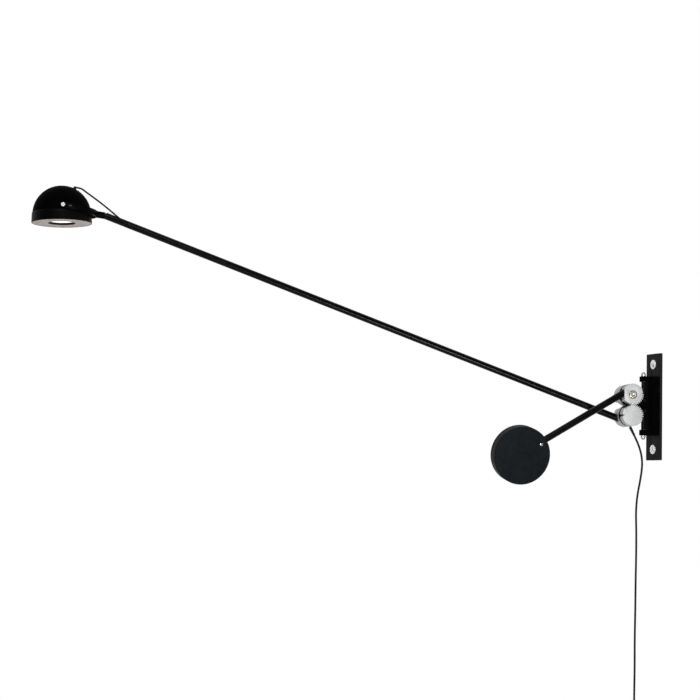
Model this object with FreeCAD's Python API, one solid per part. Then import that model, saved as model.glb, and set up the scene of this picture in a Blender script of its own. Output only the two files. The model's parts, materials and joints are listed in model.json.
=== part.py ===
import FreeCAD, Part
import math
import os

V = FreeCAD.Vector
os.makedirs("parts", exist_ok=True)

# Articulating wall lamp: a wall bracket carries a swivelling hinge whose four geared drum halves
# hold a long light arm and a short counterweight arm, so that one sinks as the other rises.
# Row frame, mm: the wall is the plane x = 0, the lamp stands out towards -X, +Z is up, and the
# origin is the middle of the wall plate's back face.

# ---------------------------------------------------------------- driving dimensions
# wall plate and its two screws
plate_width = 76.0
plate_height = 315.0
plate_thick = 7.0
plate_corner = 3.0
plate_edge = 0.6
screw_spacing = 251.0
screw_dia = 6.0
screw_hole_dia = 9.0
screw_reach = 20.0
screw_head_dia = 17.0
screw_head_height = 4.0
screw_cross_reach = 3.6
screw_cross_width = 1.5
screw_cross_depth = 2.4
washer_dia = 28.0
washer_thick = 2.0
washer_hole_dia = 8.4
washer_edge = 0.7

# bracket: a wedge-shaped block with two ears that hold the swivel pin
hinge_mid_z = 2.0
bracket_height = 173.0
bracket_depth = 18.5
bracket_front_width = 32.0
bracket_edge = 1.2
ear_width = 24.7
ear_thick = 15.5
ear_round = 6.0
ear_past_pin = 8.5
ear_root = 2.0
pin_standoff = 34.5
bracket_screw_dia = 6.0
bracket_screw_head = 11.0
bracket_screw_length = 20.0
bracket_screw_socket = 4.0
bracket_screw_socket_depth = 2.4
bracket_screw_spacing = 120.0

# swivel pin, bushes, washers and domed nuts
pin_dia = 12.0
pin_end_dia = 8.0
bush_wall = 1.5
bush_flange_dia = 16.0
bush_flange_thick = 1.0
running_gap = 0.05
end_gap = 0.25
pin_washer_dia = 15.5
pin_washer_thick = 1.2
nut_flats = 13.0
nut_hex_height = 6.0
nut_height = 12.0
nut_cap_inset = 0.4
nut_cap_wall = 3.0

# geared drums: pitch radius is half the centre distance
swivel_rest = 15.5
axle_standoff = 44.5
tooth_count = 30
tooth_module = 2.0
pressure_angle = 20.0
tooth_slack = 0.10
root_depth = 2.6
drum_edge = 0.8
front_drum_depth = 30.0
rear_drum_depth = 58.0
stack_front = 46.5
teeth_before_contact = 1
teeth_after_contact = 8
left_relief_radius = 28.4
left_relief_to = 50.0
right_relief_radius = 29.7
right_relief_to = 118.0
drum_flat = 25.6
notch_depth = 7.5

# carrier plate, hub, axles and their bushes
carrier_thick = 4.0
carrier_gap = 0.5
carrier_radius = 32.0
carrier_shift = 1.5
carrier_web_height = 40.0
carrier_past_pin = 5.0
hub_width = 18.0
hub_height = 44.0
hub_back = 10.0
hub_round = 4.0
carrier_screw_dia = 5.0
carrier_screw_head = 8.5
carrier_screw_socket = 3.0
carrier_screw_socket_depth = 2.0
carrier_screw_spacing = 30.0
carrier_screw_before_bore = 1.0
grub_dia = 5.0
grub_length = 3.6
grub_socket = 2.5
grub_socket_depth = 1.8
axle_dia = 10.0
axle_bush_wall = 2.0
axle_bush_flange = 2.0
axle_bush_proud = 0.4
axle_screw_dia = 6.0
axle_screw_length = 14.0
axle_screw_head = 21.0
axle_screw_head_height = 3.6
axle_screw_socket = 10.0
axle_screw_socket_depth = 3.0
axle_screw_edge = 0.8
axle_cap = 6.0
counterbore_dia = 24.4
counterbore_depth = 4.2

# the two arms
tube_dia = 20.0
tube_offset = 16.5
tube_inner_end = 14.0
light_wall = 1.5
light_rise = 19.7
light_reach = 1631.0
weight_wall = 2.5
weight_drop = 31.2
weight_reach = 378.5
arm_grub_dia = 6.0
arm_grub_length = 4.0
arm_grub_spacing = 12.0
arm_grub_socket = 3.0
arm_grub_socket_depth = 2.5
fit_gap = 0.03

# counterweight: two bolted halves round the arm's end
weight_dia = 170.0
weight_thick = 38.0
weight_twist = 13.0
weight_forward = 3.0
weight_chamfer = 1.5
weight_groove = 0.8
weight_arm_past_middle = 20.0
weight_screw_circle = 104.0
weight_screw_dia = 8.0
weight_screw_head = 13.0
weight_screw_head_height = 8.0
weight_screw_sunk = 0.4
weight_screw_socket = 6.0
weight_screw_socket_depth = 4.0
weight_grub_from_middle = 65.0
weight_grub_dia = 8.0
weight_grub_socket = 4.0
weight_grub_socket_depth = 3.0

# fork at the light arm's end
fork_rise = 7.0
fork_stem_length = 27.7
fork_stem_dia = 19.5
fork_clearance = 1.0
fork_straight = 8.0
fork_thick = 4.0
fork_height = 16.0
spigot_dia = 15.0
spigot_in_tube = 34.0
spigot_in_stem = 15.0
key_length = 9.0
key_width = 3.2
key_proud = 0.3

# lamp head, measured from the pivot line
head_tilt_rest = 1.3
head_forward = 5.2
dome_centre_drop = 16.3
dome_radius = 83.0
dome_wall = 1.6
seam_above_centre = 5.0
ring_height = 30.0
ring_step = 1.0
ring_flare = 1.5
ring_wall = 1.7
ring_lip = 3.0
face_plate_thick = 2.0
face_plate_inset = 0.5
mouth_radius = 39.0
recess_depth = 7.0
recess_wall = 1.5
diffuser_thick = 3.0
chamber_height = 8.0
board_thick = 1.6
board_radius = 37.0
sink_radius = 36.0
sink_base = 5.0
sink_height = 30.0
sink_fin = 2.0
sink_fin_pitch = 8.0
light_source_dia = 18.0
light_source_height = 1.2
pivot_screw_dia = 6.0
pivot_screw_head = 11.5
pivot_screw_head_height = 3.2
pivot_screw_socket = 5.0
pivot_screw_socket_depth = 2.2
pivot_screw_edge = 0.7
pivot_screw_gap = 0.15
pivot_spacer_dia = 15.0
pivot_block_dia = 16.0
pivot_block_length = 14.0
pivot_block_from_rim = 6.0
key_from_pivot = 21.0

# thin cable from the dome to the slot in the arm tube
cable_dia = 5.0
grommet_dia = 10.0
grommet_rim = 1.2
grommet_neck_dia = 6.0
grommet_ball_dia = 7.8
grommet_rise = 3.5
grommet_stub = 4.0
grommet_stub_dia = 7.2
grommet_angle = 24.6
cable_first_run = 12.6
slot_start = 35.0
slot_end = 83.0
slot_width = 6.8
slot_depth = 8.0
lead_start = 112.0
lead_side = 3.9
lead_drop = 4.2

# power cord, its relief, coil, tie and plug
cord_dia = 6.0
cord_y = -14.0
gland_dia = 9.0
gland_tip_dia = 7.4
gland_tip_length = 5.0
gland_length = 14.0
gland_neck_dia = 2.8
gland_seat = 5.0
gland_place = (44.5, -60.3)
cord_drop_z = -915.0
coil_radii = (41.0, 37.75, 34.5, 31.25, 28.0, 24.75, 28.0, 31.25, 34.5, 37.75)
coil_climb = 5
coil_layer = 6.5
coil_lead_in = 8.0
coil_tail = 50.0
tie_wall = 1.2
tie_width = 8.0
tie_clearance = 0.6
tie_grip = 0.02
plug_length = 34.0
plug_width = 30.0
plug_neck_width = 12.0
plug_thick = 13.7
plug_neck_length = 10.0
plug_shoulder = 20.0
plug_round = 2.0
plug_pin_dia = 4.0
plug_pin_length = 19.0
plug_pin_spacing = 18.6
plug_pin_round = 1.2

# ---------------------------------------------------------------- places worked out from them
pin_x = -(plate_thick + pin_standoff)
drum_centre_distance = tooth_module * tooth_count
pitch_radius = drum_centre_distance / 2
tip_radius = pitch_radius + tooth_module
root_radius = pitch_radius - root_depth
upper_axle_z = hinge_mid_z + drum_centre_distance / 2
lower_axle_z = hinge_mid_z - drum_centre_distance / 2
front_back_y = -stack_front + front_drum_depth
carrier_y = front_back_y + carrier_gap
rear_front_y = carrier_y + carrier_thick + carrier_gap
rear_back_y = rear_front_y + rear_drum_depth
weight_tube_y = -stack_front + front_drum_depth / 2
light_tube_y = rear_front_y + rear_drum_depth / 2
fork_inner_radius = dome_radius + fork_clearance
fork_length = fork_stem_length + fork_inner_radius + fork_straight
ring_top_radius = dome_radius + ring_step
ring_radius = ring_top_radius + ring_flare
X, Y, Z = V(1, 0, 0), V(0, 1, 0), V(0, 0, 1)


def cylinder(dia, start, direction, length):
    """A round bar of a diameter from a point along a direction."""
    return Part.makeCylinder(dia / 2, length, start, direction)


def tube(outer, inner, start, direction, length):
    """A round bar with a bore right through it."""
    return cylinder(outer, start, direction, length).cut(cylinder(inner, start, direction, length))


def box(low, high):
    """A box between two corners."""
    size = high - low
    return Part.makeBox(size.x, size.y, size.z, low)


def prism(points, direction):
    """A closed outline of straight edges pushed along a direction."""
    return Part.Face(Part.makePolygon(points + points[:1])).extrude(direction)


def hexagon(flats, start, direction, length):
    """A hexagonal bar: its flats are the given width across."""
    corner = flats / math.sqrt(3)
    points = [V(corner * math.cos(math.radians(a)), corner * math.sin(math.radians(a)), 0)
              for a in range(0, 360, 60)]
    bar = prism(points, V(0, 0, length))
    turn = FreeCAD.Rotation(Z, direction)
    bar.Placement = FreeCAD.Placement(start, turn)
    return bar


def revolve(profile):
    """A closed profile of (radius, height) points turned about the Z axis."""
    points = [V(r, 0, z) for r, z in profile]
    return Part.Face(Part.makePolygon(points + points[:1])).revolve(V(), Z, 360)


def joined(shapes):
    """Several shapes fused into one solid with its seams removed."""
    first, rest = shapes[0], shapes[1:]
    return first.fuse(rest).removeSplitter()


def group(solids):
    """Separate solids that share one file."""
    return Part.Compound(solids)


def swivelled(shape):
    """Turns a piece of the hinge from straight out of the wall to its rest swivel."""
    done = shape.copy()
    done.rotate(V(pin_x, 0, 0), Z, -swivel_rest)
    return done


def at_axle(shape, axle_z):
    """Moves a piece from round the Y axis to round an axle, without tilting it."""
    done = shape.copy()
    done.translate(V(pin_x - axle_standoff, 0, axle_z))
    return swivelled(done)


def on_light_arm(shape):
    """Moves a piece drawn along -X to the rising light arm."""
    done = shape.copy()
    done.rotate(V(), Y, light_rise)
    return at_axle(done, lower_axle_z)


def on_weight_arm(shape):
    """Moves a piece drawn along -X to the falling counterweight arm."""
    done = shape.copy()
    done.rotate(V(), Y, -weight_drop)
    return at_axle(done, upper_axle_z)


def rise(angle):
    """The direction, in the hinge's own plane, of a line that rises outwards by an angle."""
    return V(-math.cos(math.radians(angle)), 0, math.sin(math.radians(angle)))


arm_tip = rise(light_rise) * light_reach + rise(light_rise - 90) * tube_offset + V(0, light_tube_y, 0)
pivot = arm_tip + rise(fork_rise) * fork_length


def on_fork(shape):
    """Moves a piece drawn along -X from the tube's tip to the fork."""
    done = shape.copy()
    done.rotate(V(), Y, fork_rise)
    done.translate(arm_tip)
    return at_axle(done, lower_axle_z)


def on_head(shape):
    """Moves a piece drawn round the pivot line to the lamp head."""
    done = shape.copy()
    done.rotate(V(), Y, -head_tilt_rest)
    done.translate(pivot)
    return at_axle(done, lower_axle_z)


# ---------------------------------------------------------------- wall plate and bracket
def wall_plate():
    low = V(-plate_thick, -plate_width / 2, -plate_height / 2)
    plate = box(low, V(0, plate_width / 2, plate_height / 2))
    corners = [e for e in plate.Edges if e.tangentAt(e.FirstParameter).cross(X).Length < 1e-6]
    plate = plate.makeFillet(plate_corner, corners)
    rim = [e for e in plate.Edges if e.BoundBox.XMax < -plate_thick + 1e-6]
    plate = plate.makeChamfer(plate_edge, rim)
    for z in (-screw_spacing / 2, screw_spacing / 2):
        plate = plate.cut(cylinder(screw_hole_dia, V(-plate_thick, 0, z), X, plate_thick))
    for z in bracket_screw_heights():
        plate = plate.cut(bracket_screw(z, running_gap))
    return plate


def bracket_screw_heights():
    half = bracket_screw_spacing / 2
    return hinge_mid_z - half, hinge_mid_z + half


def countersunk(dia, head_dia, length, start, way, gap):
    """A countersunk screw from its flush face along a direction, or its hole if given a gap."""
    outer, inner = head_dia / 2 + gap, dia / 2 + gap
    cone = Part.makeCone(outer, inner, outer - inner, start, way)
    return joined([cylinder(2 * inner, start, way, length), cone])


def bracket_screw(z, gap):
    """A screw from the plate's back into the bracket."""
    return countersunk(bracket_screw_dia, bracket_screw_head, bracket_screw_length, V(0, 0, z), -X, gap)


def bracket_screws():
    solids = []
    for z in bracket_screw_heights():
        socket = hexagon(bracket_screw_socket, V(0, 0, z), -X, bracket_screw_socket_depth)
        solids.append(bracket_screw(z, 0).cut(socket))
    return group(solids)


def wall_washers():
    solids = []
    for z in (-screw_spacing / 2, screw_spacing / 2):
        washer = tube(washer_dia, washer_hole_dia, V(-plate_thick, 0, z), -X, washer_thick)
        rim = [e for e in washer.Edges
               if e.BoundBox.XMax < -plate_thick - washer_thick + 1e-6 and e.Curve.Radius > washer_dia / 3]
        solids.append(washer.makeChamfer(washer_edge, rim))
    return group(solids)


def wall_screws():
    """Cross-recessed screws: each passes the washer and the plate and stands out into the wall."""
    solids = []
    seat = -plate_thick - washer_thick
    top = seat - screw_head_height
    head_curve = (screw_head_dia ** 2 / 4 + screw_head_height ** 2) / (2 * screw_head_height)
    long, short = screw_cross_reach, screw_cross_width / 2
    for z in (-screw_spacing / 2, screw_spacing / 2):
        ball = Part.makeSphere(head_curve, V(top + head_curve, 0, z))
        head = ball.common(cylinder(screw_head_dia, V(seat, 0, z), -X, screw_head_height))
        shank = cylinder(screw_dia, V(seat, 0, z), X, washer_thick + plate_thick + screw_reach)
        cross = [box(V(top, -y, z - up), V(top + screw_cross_depth, y, z + up))
                 for y, up in ((long, short), (short, long))]
        solids.append(joined([head, shank]).cut(joined(cross)))
    return group(solids)


def bracket_body():
    """The wedge on the plate and the two ears; the wedge narrows from the plate's width."""
    low = hinge_mid_z - bracket_height / 2
    front = -plate_thick - bracket_depth
    half_base, half_front = plate_width / 2 - plate_corner, bracket_front_width / 2
    outline = [V(-plate_thick, -half_base, low), V(front, -half_front, low),
               V(front, half_front, low), V(-plate_thick, half_base, low)]
    body = prism(outline, V(0, 0, bracket_height))
    front_edges = [e for e in body.Edges
                   if e.BoundBox.XMax < front + 1e-6 and e.BoundBox.ZLength > bracket_height / 2]
    body = body.makeFillet(bracket_edge, front_edges)
    nose = pin_x - ear_past_pin
    for ear_low in (low, low + bracket_height - ear_thick):
        half = ear_width / 2
        ear = box(V(nose, -half, ear_low), V(front + ear_root, half, ear_low + ear_thick))
        upright = [e for e in ear.Edges
                   if e.BoundBox.ZLength > ear_thick / 2 and e.BoundBox.XMax < nose + 1e-6]
        body = body.fuse(ear.makeFillet(ear_round, upright))
    bore = cylinder(bush_outer(), V(pin_x, 0, low), Z, bracket_height)
    body = body.cut(bore)
    for z in bracket_screw_heights():
        body = body.cut(cylinder(bracket_screw_dia, V(-bracket_screw_length, 0, z), X, bracket_screw_length))
    return body.removeSplitter()


def bush_outer():
    return pin_end_dia + 2 * running_gap + 2 * bush_wall


def ear_levels():
    """For each ear: the height of its inner face, of its outer face, and the way out along Z."""
    half = bracket_height / 2
    return [(hinge_mid_z + half - ear_thick, hinge_mid_z + half, Z),
            (hinge_mid_z - half + ear_thick, hinge_mid_z - half, -Z)]


def pin_bushes():
    solids = []
    for inner, outer, out in ear_levels():
        sleeve = cylinder(bush_outer() - 2 * fit_gap, V(pin_x, 0, inner), out, ear_thick)
        flange = cylinder(bush_flange_dia, V(pin_x, 0, inner), -out, bush_flange_thick)
        bore_start = V(pin_x, 0, inner) - out * bush_flange_thick
        bore = cylinder(pin_end_dia + 2 * running_gap, bore_start, out, ear_thick + bush_flange_thick)
        solids.append(joined([sleeve, flange]).cut(bore))
    return group(solids)


# ---------------------------------------------------------------- swivel pin, hub and carrier
def swivel_pin():
    """A shouldered pin: thick between the ears, thin and threaded through them."""
    shoulder = bracket_height / 2 - ear_thick - bush_flange_thick - end_gap
    reach = bracket_height / 2 + end_gap + pin_washer_thick + nut_height - nut_cap_wall - end_gap
    thick = cylinder(pin_dia, V(pin_x, 0, hinge_mid_z - shoulder), Z, 2 * shoulder)
    thin = cylinder(pin_end_dia, V(pin_x, 0, hinge_mid_z - reach), Z, 2 * reach)
    return swivelled(joined([thick, thin]))


def pin_washers():
    solids = []
    for inner, outer, out in ear_levels():
        start = V(pin_x, 0, outer) + out * end_gap
        solids.append(tube(pin_washer_dia, pin_end_dia + 2 * fit_gap, start, out, pin_washer_thick))
    return swivelled(group(solids))


def pin_nuts():
    """Domed nuts: a chamfered hexagon with a round cap over the pin's end."""
    solids = []
    for inner, outer, out in ear_levels():
        start = V(pin_x, 0, outer) + out * (end_gap + pin_washer_thick)
        flats = hexagon(nut_flats, start, out, nut_hex_height)
        cap_radius = nut_flats / 2 - nut_cap_inset
        barrel = cylinder(2 * cap_radius, start, out, nut_height)
        ball = Part.makeSphere(cap_radius, start + out * (nut_height - cap_radius))
        low = cylinder(2 * nut_flats, start, out, nut_height - cap_radius)
        hole = cylinder(pin_end_dia + 2 * fit_gap, start, out, nut_height - nut_cap_wall)
        solids.append(joined([flats, barrel.common(ball.fuse(low))]).cut(hole))
    return swivelled(group(solids))


def carrier_screw_heights():
    half = carrier_screw_spacing / 2
    return hinge_mid_z - half, hinge_mid_z + half


def swivel_hub():
    """A block clamped round the pin; the carrier plate is screwed to its front."""
    low_z = hinge_mid_z - hub_height / 2
    front = carrier_y + carrier_thick
    half = hub_width / 2
    block = box(V(pin_x - half, front, low_z), V(pin_x + half, hub_back, low_z + hub_height))
    upright = [e for e in block.Edges if e.BoundBox.ZLength > hub_height / 2 and e.BoundBox.YMin > 0]
    block = block.makeFillet(hub_round, upright)
    block = block.cut(cylinder(pin_dia + 2 * fit_gap, V(pin_x, 0, low_z), Z, hub_height))
    for z in carrier_screw_heights():
        block = block.cut(cylinder(carrier_screw_dia + 2 * fit_gap, V(pin_x, front, z), Y, screw_bite()))
    grub = V(pin_x, pin_dia / 2, hinge_mid_z)
    return swivelled(block.cut(cylinder(grub_dia, grub, Y, hub_back)))


def screw_bite():
    """How far a carrier screw reaches into the hub before the pin's bore."""
    return -(carrier_y + carrier_thick) - pin_dia / 2 - carrier_screw_before_bore


def hub_grub_screw():
    start = V(pin_x, pin_dia / 2 + fit_gap, hinge_mid_z)
    socket = hexagon(grub_socket, start + Y * grub_length, -Y, grub_socket_depth)
    return swivelled(cylinder(grub_dia, start, Y, grub_length).cut(socket))


def carrier_plate():
    """One flat plate: a round lobe behind each drum and a web to the hub behind the teeth."""
    lobe_x = pin_x - axle_standoff - carrier_shift
    lobes = [cylinder(2 * carrier_radius, V(lobe_x, carrier_y, z), Y, carrier_thick)
             for z in (lower_axle_z, upper_axle_z)]
    half = carrier_web_height / 2
    web = box(V(lobe_x, carrier_y, hinge_mid_z - half),
              V(pin_x + carrier_past_pin, carrier_y + carrier_thick, hinge_mid_z + half))
    plate = joined(lobes + [web])
    for z in (lower_axle_z, upper_axle_z):
        centre = V(pin_x - axle_standoff, carrier_y, z)
        plate = plate.cut(cylinder(axle_bush_outer(), centre, Y, carrier_thick))
    for z in carrier_screw_heights():
        plate = plate.cut(carrier_screw(z, fit_gap))
    seat, way = gland_line()
    neck = cylinder(gland_neck_dia + 2 * fit_gap, seat - way * gland_seat, way, 2 * gland_seat)
    return swivelled(plate.cut(neck))


def axle_bush_outer():
    return axle_dia + 2 * running_gap + 2 * axle_bush_wall


def carrier_screw(z, gap):
    """A screw from the plate's front into the hub."""
    length = carrier_thick + screw_bite()
    return countersunk(carrier_screw_dia, carrier_screw_head, length, V(pin_x, carrier_y, z), Y, gap)


def carrier_screws():
    solids = []
    for z in carrier_screw_heights():
        socket = hexagon(carrier_screw_socket, V(pin_x, carrier_y, z), Y, carrier_screw_socket_depth)
        solids.append(carrier_screw(z, 0).cut(socket))
    return swivelled(group(solids))


def axle_bushes():
    """Flanged bushes in the carrier plate, one for each axle."""
    solids = []
    for z in (lower_axle_z, upper_axle_z):
        centre = V(pin_x - axle_standoff, carrier_y - axle_bush_proud, z)
        length = carrier_thick + 2 * axle_bush_proud
        sleeve = cylinder(axle_bush_outer() - 2 * fit_gap, centre, Y, length)
        flange = cylinder(axle_bush_outer() + 2 * axle_bush_flange, centre, Y, axle_bush_proud)
        bore = cylinder(axle_dia + 2 * running_gap, centre, Y, length)
        solids.append(joined([sleeve, flange]).cut(bore))
    return swivelled(group(solids))


# ---------------------------------------------------------------- geared drums
def polar(radius, degrees):
    """A point of the drum's face: 0 degrees is towards the wall, 90 is up."""
    a = math.radians(degrees)
    return V(radius * math.cos(a), 0, radius * math.sin(a))


def half_tooth(radius):
    """Half a tooth's angle, in degrees, at a radius: involute above the base circle."""
    base = pitch_radius * math.cos(math.radians(pressure_angle))
    involute_at_pitch = math.tan(math.radians(pressure_angle)) - math.radians(pressure_angle)
    lean = math.acos(min(1.0, base / radius))
    half = math.pi / (2 * tooth_count) + involute_at_pitch - (math.tan(lean) - lean)
    return math.degrees(half - tooth_slack / pitch_radius)


def tooth_gap(degrees, depth):
    """The space between two teeth, as a bar along Y."""
    pitch = 360.0 / tooth_count
    steps = 5
    levels = [root_radius + (tip_radius + 0.6 - root_radius) * i / steps for i in range(steps + 1)]
    right = [polar(r, degrees - (pitch / 2 - half_tooth(r))) for r in levels]
    left = [polar(r, degrees + (pitch / 2 - half_tooth(r))) for r in reversed(levels)]
    return prism(right + left, V(0, depth, 0))


def relief(start, end, radius, depth):
    """A shallower stretch of rim, so that the two smooth rims pass each other."""
    ring = tube(2 * tip_radius + 4, 2 * radius, V(), Y, depth)
    far = 3 * tip_radius
    middle = (start + end) / 2
    wedge = prism([V(), polar(far, start), polar(far, middle), polar(far, end)], V(0, depth, 0))
    return ring.common(wedge)


def drum_blank(side, depth):
    """A round drum with its toothed stretch; side is 1 for the lower drum and -1 for the upper.

    Angles are counted from the contact with the other drum, positive away from the wall. The
    lower drum has a tooth at the contact and the upper drum the space for it.
    """
    contact = 90.0 * side
    pitch = 360.0 / tooth_count
    odd = pitch / 2 if side > 0 else 0.0
    first = pitch * teeth_before_contact + odd
    last = -(pitch * teeth_after_contact + odd)
    blank = cylinder(2 * tip_radius, V(), Y, depth)
    rims = [e for e in blank.Edges if e.BoundBox.YLength < 1e-6]
    blank = blank.makeChamfer(drum_edge, rims)
    count = round((first - last) / pitch) + 1
    cutters = [tooth_gap(contact + side * (first - pitch * k), depth) for k in range(count)]
    cutters.append(relief(contact + side * first, contact + side * left_relief_to,
                          left_relief_radius, depth))
    cutters.append(relief(contact + side * last, contact - side * right_relief_to,
                          right_relief_radius, depth))
    return blank.cut(cutters)


def arm_bore(angle, offset, y):
    """The hole that takes an arm's tube, along the arm's line past the axle."""
    along = rise(angle)
    across = rise(angle - 90) * offset
    start = across - along * tube_inner_end + V(0, y, 0)
    return cylinder(tube_dia + 2 * fit_gap, start, along, 2 * tip_radius)


def grub_places(offset, y):
    """Where the arm's set screws bear on its tube, in the arm's own frame."""
    side = 1 if offset > 0 else -1
    return [(V(-a, y, -side * (abs(offset) + tube_dia / 2)), V(0, 0, -side))
            for a in (-arm_grub_spacing / 2, arm_grub_spacing / 2)]


def grub_holes(angle, offset, y):
    holes = []
    for start, way in grub_places(offset, y):
        hole = cylinder(arm_grub_dia + 2 * fit_gap, start, way, tip_radius)
        hole.rotate(V(), Y, angle)
        holes.append(hole)
    return holes


def arm_grub_screws(offset, y):
    solids = []
    for start, way in grub_places(offset, y):
        screw = cylinder(arm_grub_dia, start + way * fit_gap, way, arm_grub_length)
        socket = hexagon(arm_grub_socket, start + way * (arm_grub_length + fit_gap), -way,
                         arm_grub_socket_depth)
        solids.append(screw.cut(socket))
    return group(solids)


def upper_front_drum():
    """Holds the counterweight's tube; its rim has a flat where the tube enters."""
    drum = drum_blank(-1, front_drum_depth)
    drum.translate(V(0, -stack_front, 0))
    far = 2 * tip_radius
    flat = box(V(-far, -stack_front, -far / 2), V(-drum_flat, front_back_y, far / 2))
    cuts = [flat, arm_bore(-weight_drop, -tube_offset, weight_tube_y),
            axle_hole(-stack_front, front_drum_depth),
            cylinder(counterbore_dia, V(0, -stack_front, 0), Y, counterbore_depth)]
    cuts += grub_holes(-weight_drop, -tube_offset, weight_tube_y)
    return at_axle(drum.cut(cuts), upper_axle_z)


def upper_rear_drum():
    drum = drum_blank(-1, rear_drum_depth)
    drum.translate(V(0, rear_front_y, 0))
    return at_axle(drum.cut([axle_hole(rear_front_y, rear_drum_depth - axle_cap)]), upper_axle_z)


def lower_front_drum():
    """Bare in front, with a wedge-shaped notch in its outer side that shows the dark plate."""
    drum = drum_blank(1, front_drum_depth)
    drum.translate(V(0, -stack_front, 0))
    apex = drum_flat - 0.6
    top = 1.0
    notch = prism([V(-apex, -stack_front, top), V(-tip_radius - 3, -stack_front, top + 1.0),
                   V(-tip_radius - 3, -stack_front, top - notch_depth - 5)], V(0, front_drum_depth, 0))
    blind = axle_hole(-stack_front + axle_cap, front_drum_depth - axle_cap)
    return at_axle(drum.cut([notch, blind]), lower_axle_z)


def lower_rear_drum():
    """Holds the light arm's tube; its screw is at the back."""
    drum = drum_blank(1, rear_drum_depth)
    drum.translate(V(0, rear_front_y, 0))
    cuts = [arm_bore(light_rise, tube_offset, light_tube_y), axle_hole(rear_front_y, rear_drum_depth),
            cylinder(counterbore_dia, V(0, rear_back_y, 0), -Y, counterbore_depth)]
    cuts += grub_holes(light_rise, tube_offset, light_tube_y)
    return at_axle(drum.cut(cuts), lower_axle_z)


def axle_hole(start, depth):
    return cylinder(axle_dia + 2 * fit_gap, V(0, start, 0), Y, depth)


def axle(start, end, threaded_at):
    """An axle with a threaded hole in one end for its socket screw."""
    bar = cylinder(axle_dia, V(0, start, 0), Y, end - start)
    inward = Y if threaded_at == start else -Y
    return bar.cut(cylinder(axle_screw_dia, V(0, threaded_at, 0), inward, axle_screw_length + 1))


def axle_screw(face, inward):
    """A low socket-head screw sunk in the drum's counterbore."""
    seat = V(0, face, 0) + inward * counterbore_depth
    head = cylinder(axle_screw_head, seat, -inward, axle_screw_head_height)
    top = seat - inward * axle_screw_head_height
    rim = [e for e in head.Edges if e.BoundBox.YLength < 1e-6 and abs(e.BoundBox.YMin - top.y) < 1e-6]
    head = head.makeChamfer(axle_screw_edge, rim)
    shank = cylinder(axle_screw_dia, seat, inward, axle_screw_length)
    socket = hexagon(axle_screw_socket, top, inward, axle_screw_socket_depth)
    return joined([head, shank]).cut(socket)


def upper_axle():
    start, end = -stack_front + counterbore_depth, rear_back_y - axle_cap
    return at_axle(axle(start, end, start), upper_axle_z)


def lower_axle():
    start, end = -stack_front + axle_cap, rear_back_y - counterbore_depth
    return at_axle(axle(start, end, end), lower_axle_z)


# ---------------------------------------------------------------- light arm
def light_arm_tube():
    """A long thin-walled tube; near its tip a slanting slot lets the lamp's cable in."""
    length = light_reach + tube_inner_end
    start = V(tube_inner_end, light_tube_y, -tube_offset)
    bar = tube(tube_dia, tube_dia - 2 * light_wall, start, -X, length)
    return on_light_arm(bar.cut(cable_slot()))


def cable_slot():
    """A slot cut slantwise down the near side, from the top of the tube to its underside."""
    middle = light_reach - (slot_start + slot_end) / 2
    rise_of_slot = tube_dia * 0.8
    length = math.hypot(rise_of_slot, slot_end - slot_start)
    cutter = box(V(-length / 2, -slot_depth, -slot_width / 2), V(length / 2, 0, slot_width / 2))
    cutter.rotate(V(), Y, slot_lean())
    cutter.translate(V(-middle, light_tube_y - tube_dia / 2 + slot_depth - 0.5, -tube_offset))
    return cutter


def slot_lean():
    return math.degrees(math.atan2(tube_dia * 0.8, slot_end - slot_start))


def arm_lead():
    """The insulated lead in the tube's bore, from behind the slot to the drum."""
    start = V(-(light_reach - lead_start), light_tube_y - lead_side, -tube_offset - lead_drop)
    return on_light_arm(cylinder(cable_dia, start, X, light_reach - lead_start + tube_inner_end - 4))


def light_arm_grub_screws():
    return on_light_arm(arm_grub_screws(tube_offset, light_tube_y))


def fork_start():
    """The stem's square end clears the tube's square end at the lower edge."""
    bend = math.radians(light_rise - fork_rise)
    return tube_dia / 2 * math.sin(bend) + 0.1


def fork():
    """Stem and half-ring in one piece; the two ends carry the lamp head's pivots."""
    outer_radius = fork_inner_radius + fork_thick
    middle = fork_length - fork_straight
    half = fork_height / 2
    ring = tube(2 * outer_radius, 2 * fork_inner_radius, V(-middle, 0, -half), Z, fork_height)
    ring = ring.cut(box(V(-3 * outer_radius, -2 * outer_radius, -fork_height),
                        V(-middle, 2 * outer_radius, fork_height)))
    stem_end = middle - fork_inner_radius
    stem = cylinder(fork_stem_dia, V(-fork_start(), 0, 0), -X, stem_end - fork_start())
    hollow = cylinder(2 * (fork_inner_radius + 0.5), V(-middle, 0, -half - 5), Z, fork_height + 10)
    pieces = [ring, stem.cut(hollow)]
    for side in (-1, 1):
        inner = side * fork_inner_radius
        low = V(-fork_length, min(inner, inner + side * fork_thick), -half)
        pieces.append(box(low, low + V(fork_straight, fork_thick, fork_height)))
        pieces.append(cylinder(fork_height, V(-fork_length, inner, 0), Y * side, fork_thick))
    body = joined(pieces)
    pivot_hole = cylinder(pivot_screw_dia + 2 * running_gap, V(-fork_length, -2 * outer_radius, 0), Y,
                          4 * outer_radius)
    bore = cylinder(spigot_dia + 2 * fit_gap, V(0, 0, 0), -X, fork_start() + spigot_in_stem)
    return on_fork(body.cut([pivot_hole, bore] + stop_keys()))


def fork_spigot():
    """A bent plug that joins the tube's end to the fork's stem."""
    in_stem = cylinder(spigot_dia, V(), -X, fork_start() + spigot_in_stem)
    elbow = Part.makeSphere(spigot_dia / 2)
    in_tube = cylinder(spigot_dia, V(), X, spigot_in_tube)
    collar = cylinder(tube_dia - 2 * light_wall - 2 * fit_gap, V(4, 0, 0), X, spigot_in_tube - 4)
    tube_side = joined([in_tube, collar])
    tube_side.rotate(V(), Y, light_rise - fork_rise)
    return on_fork(joined([in_stem, elbow, tube_side]))


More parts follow.
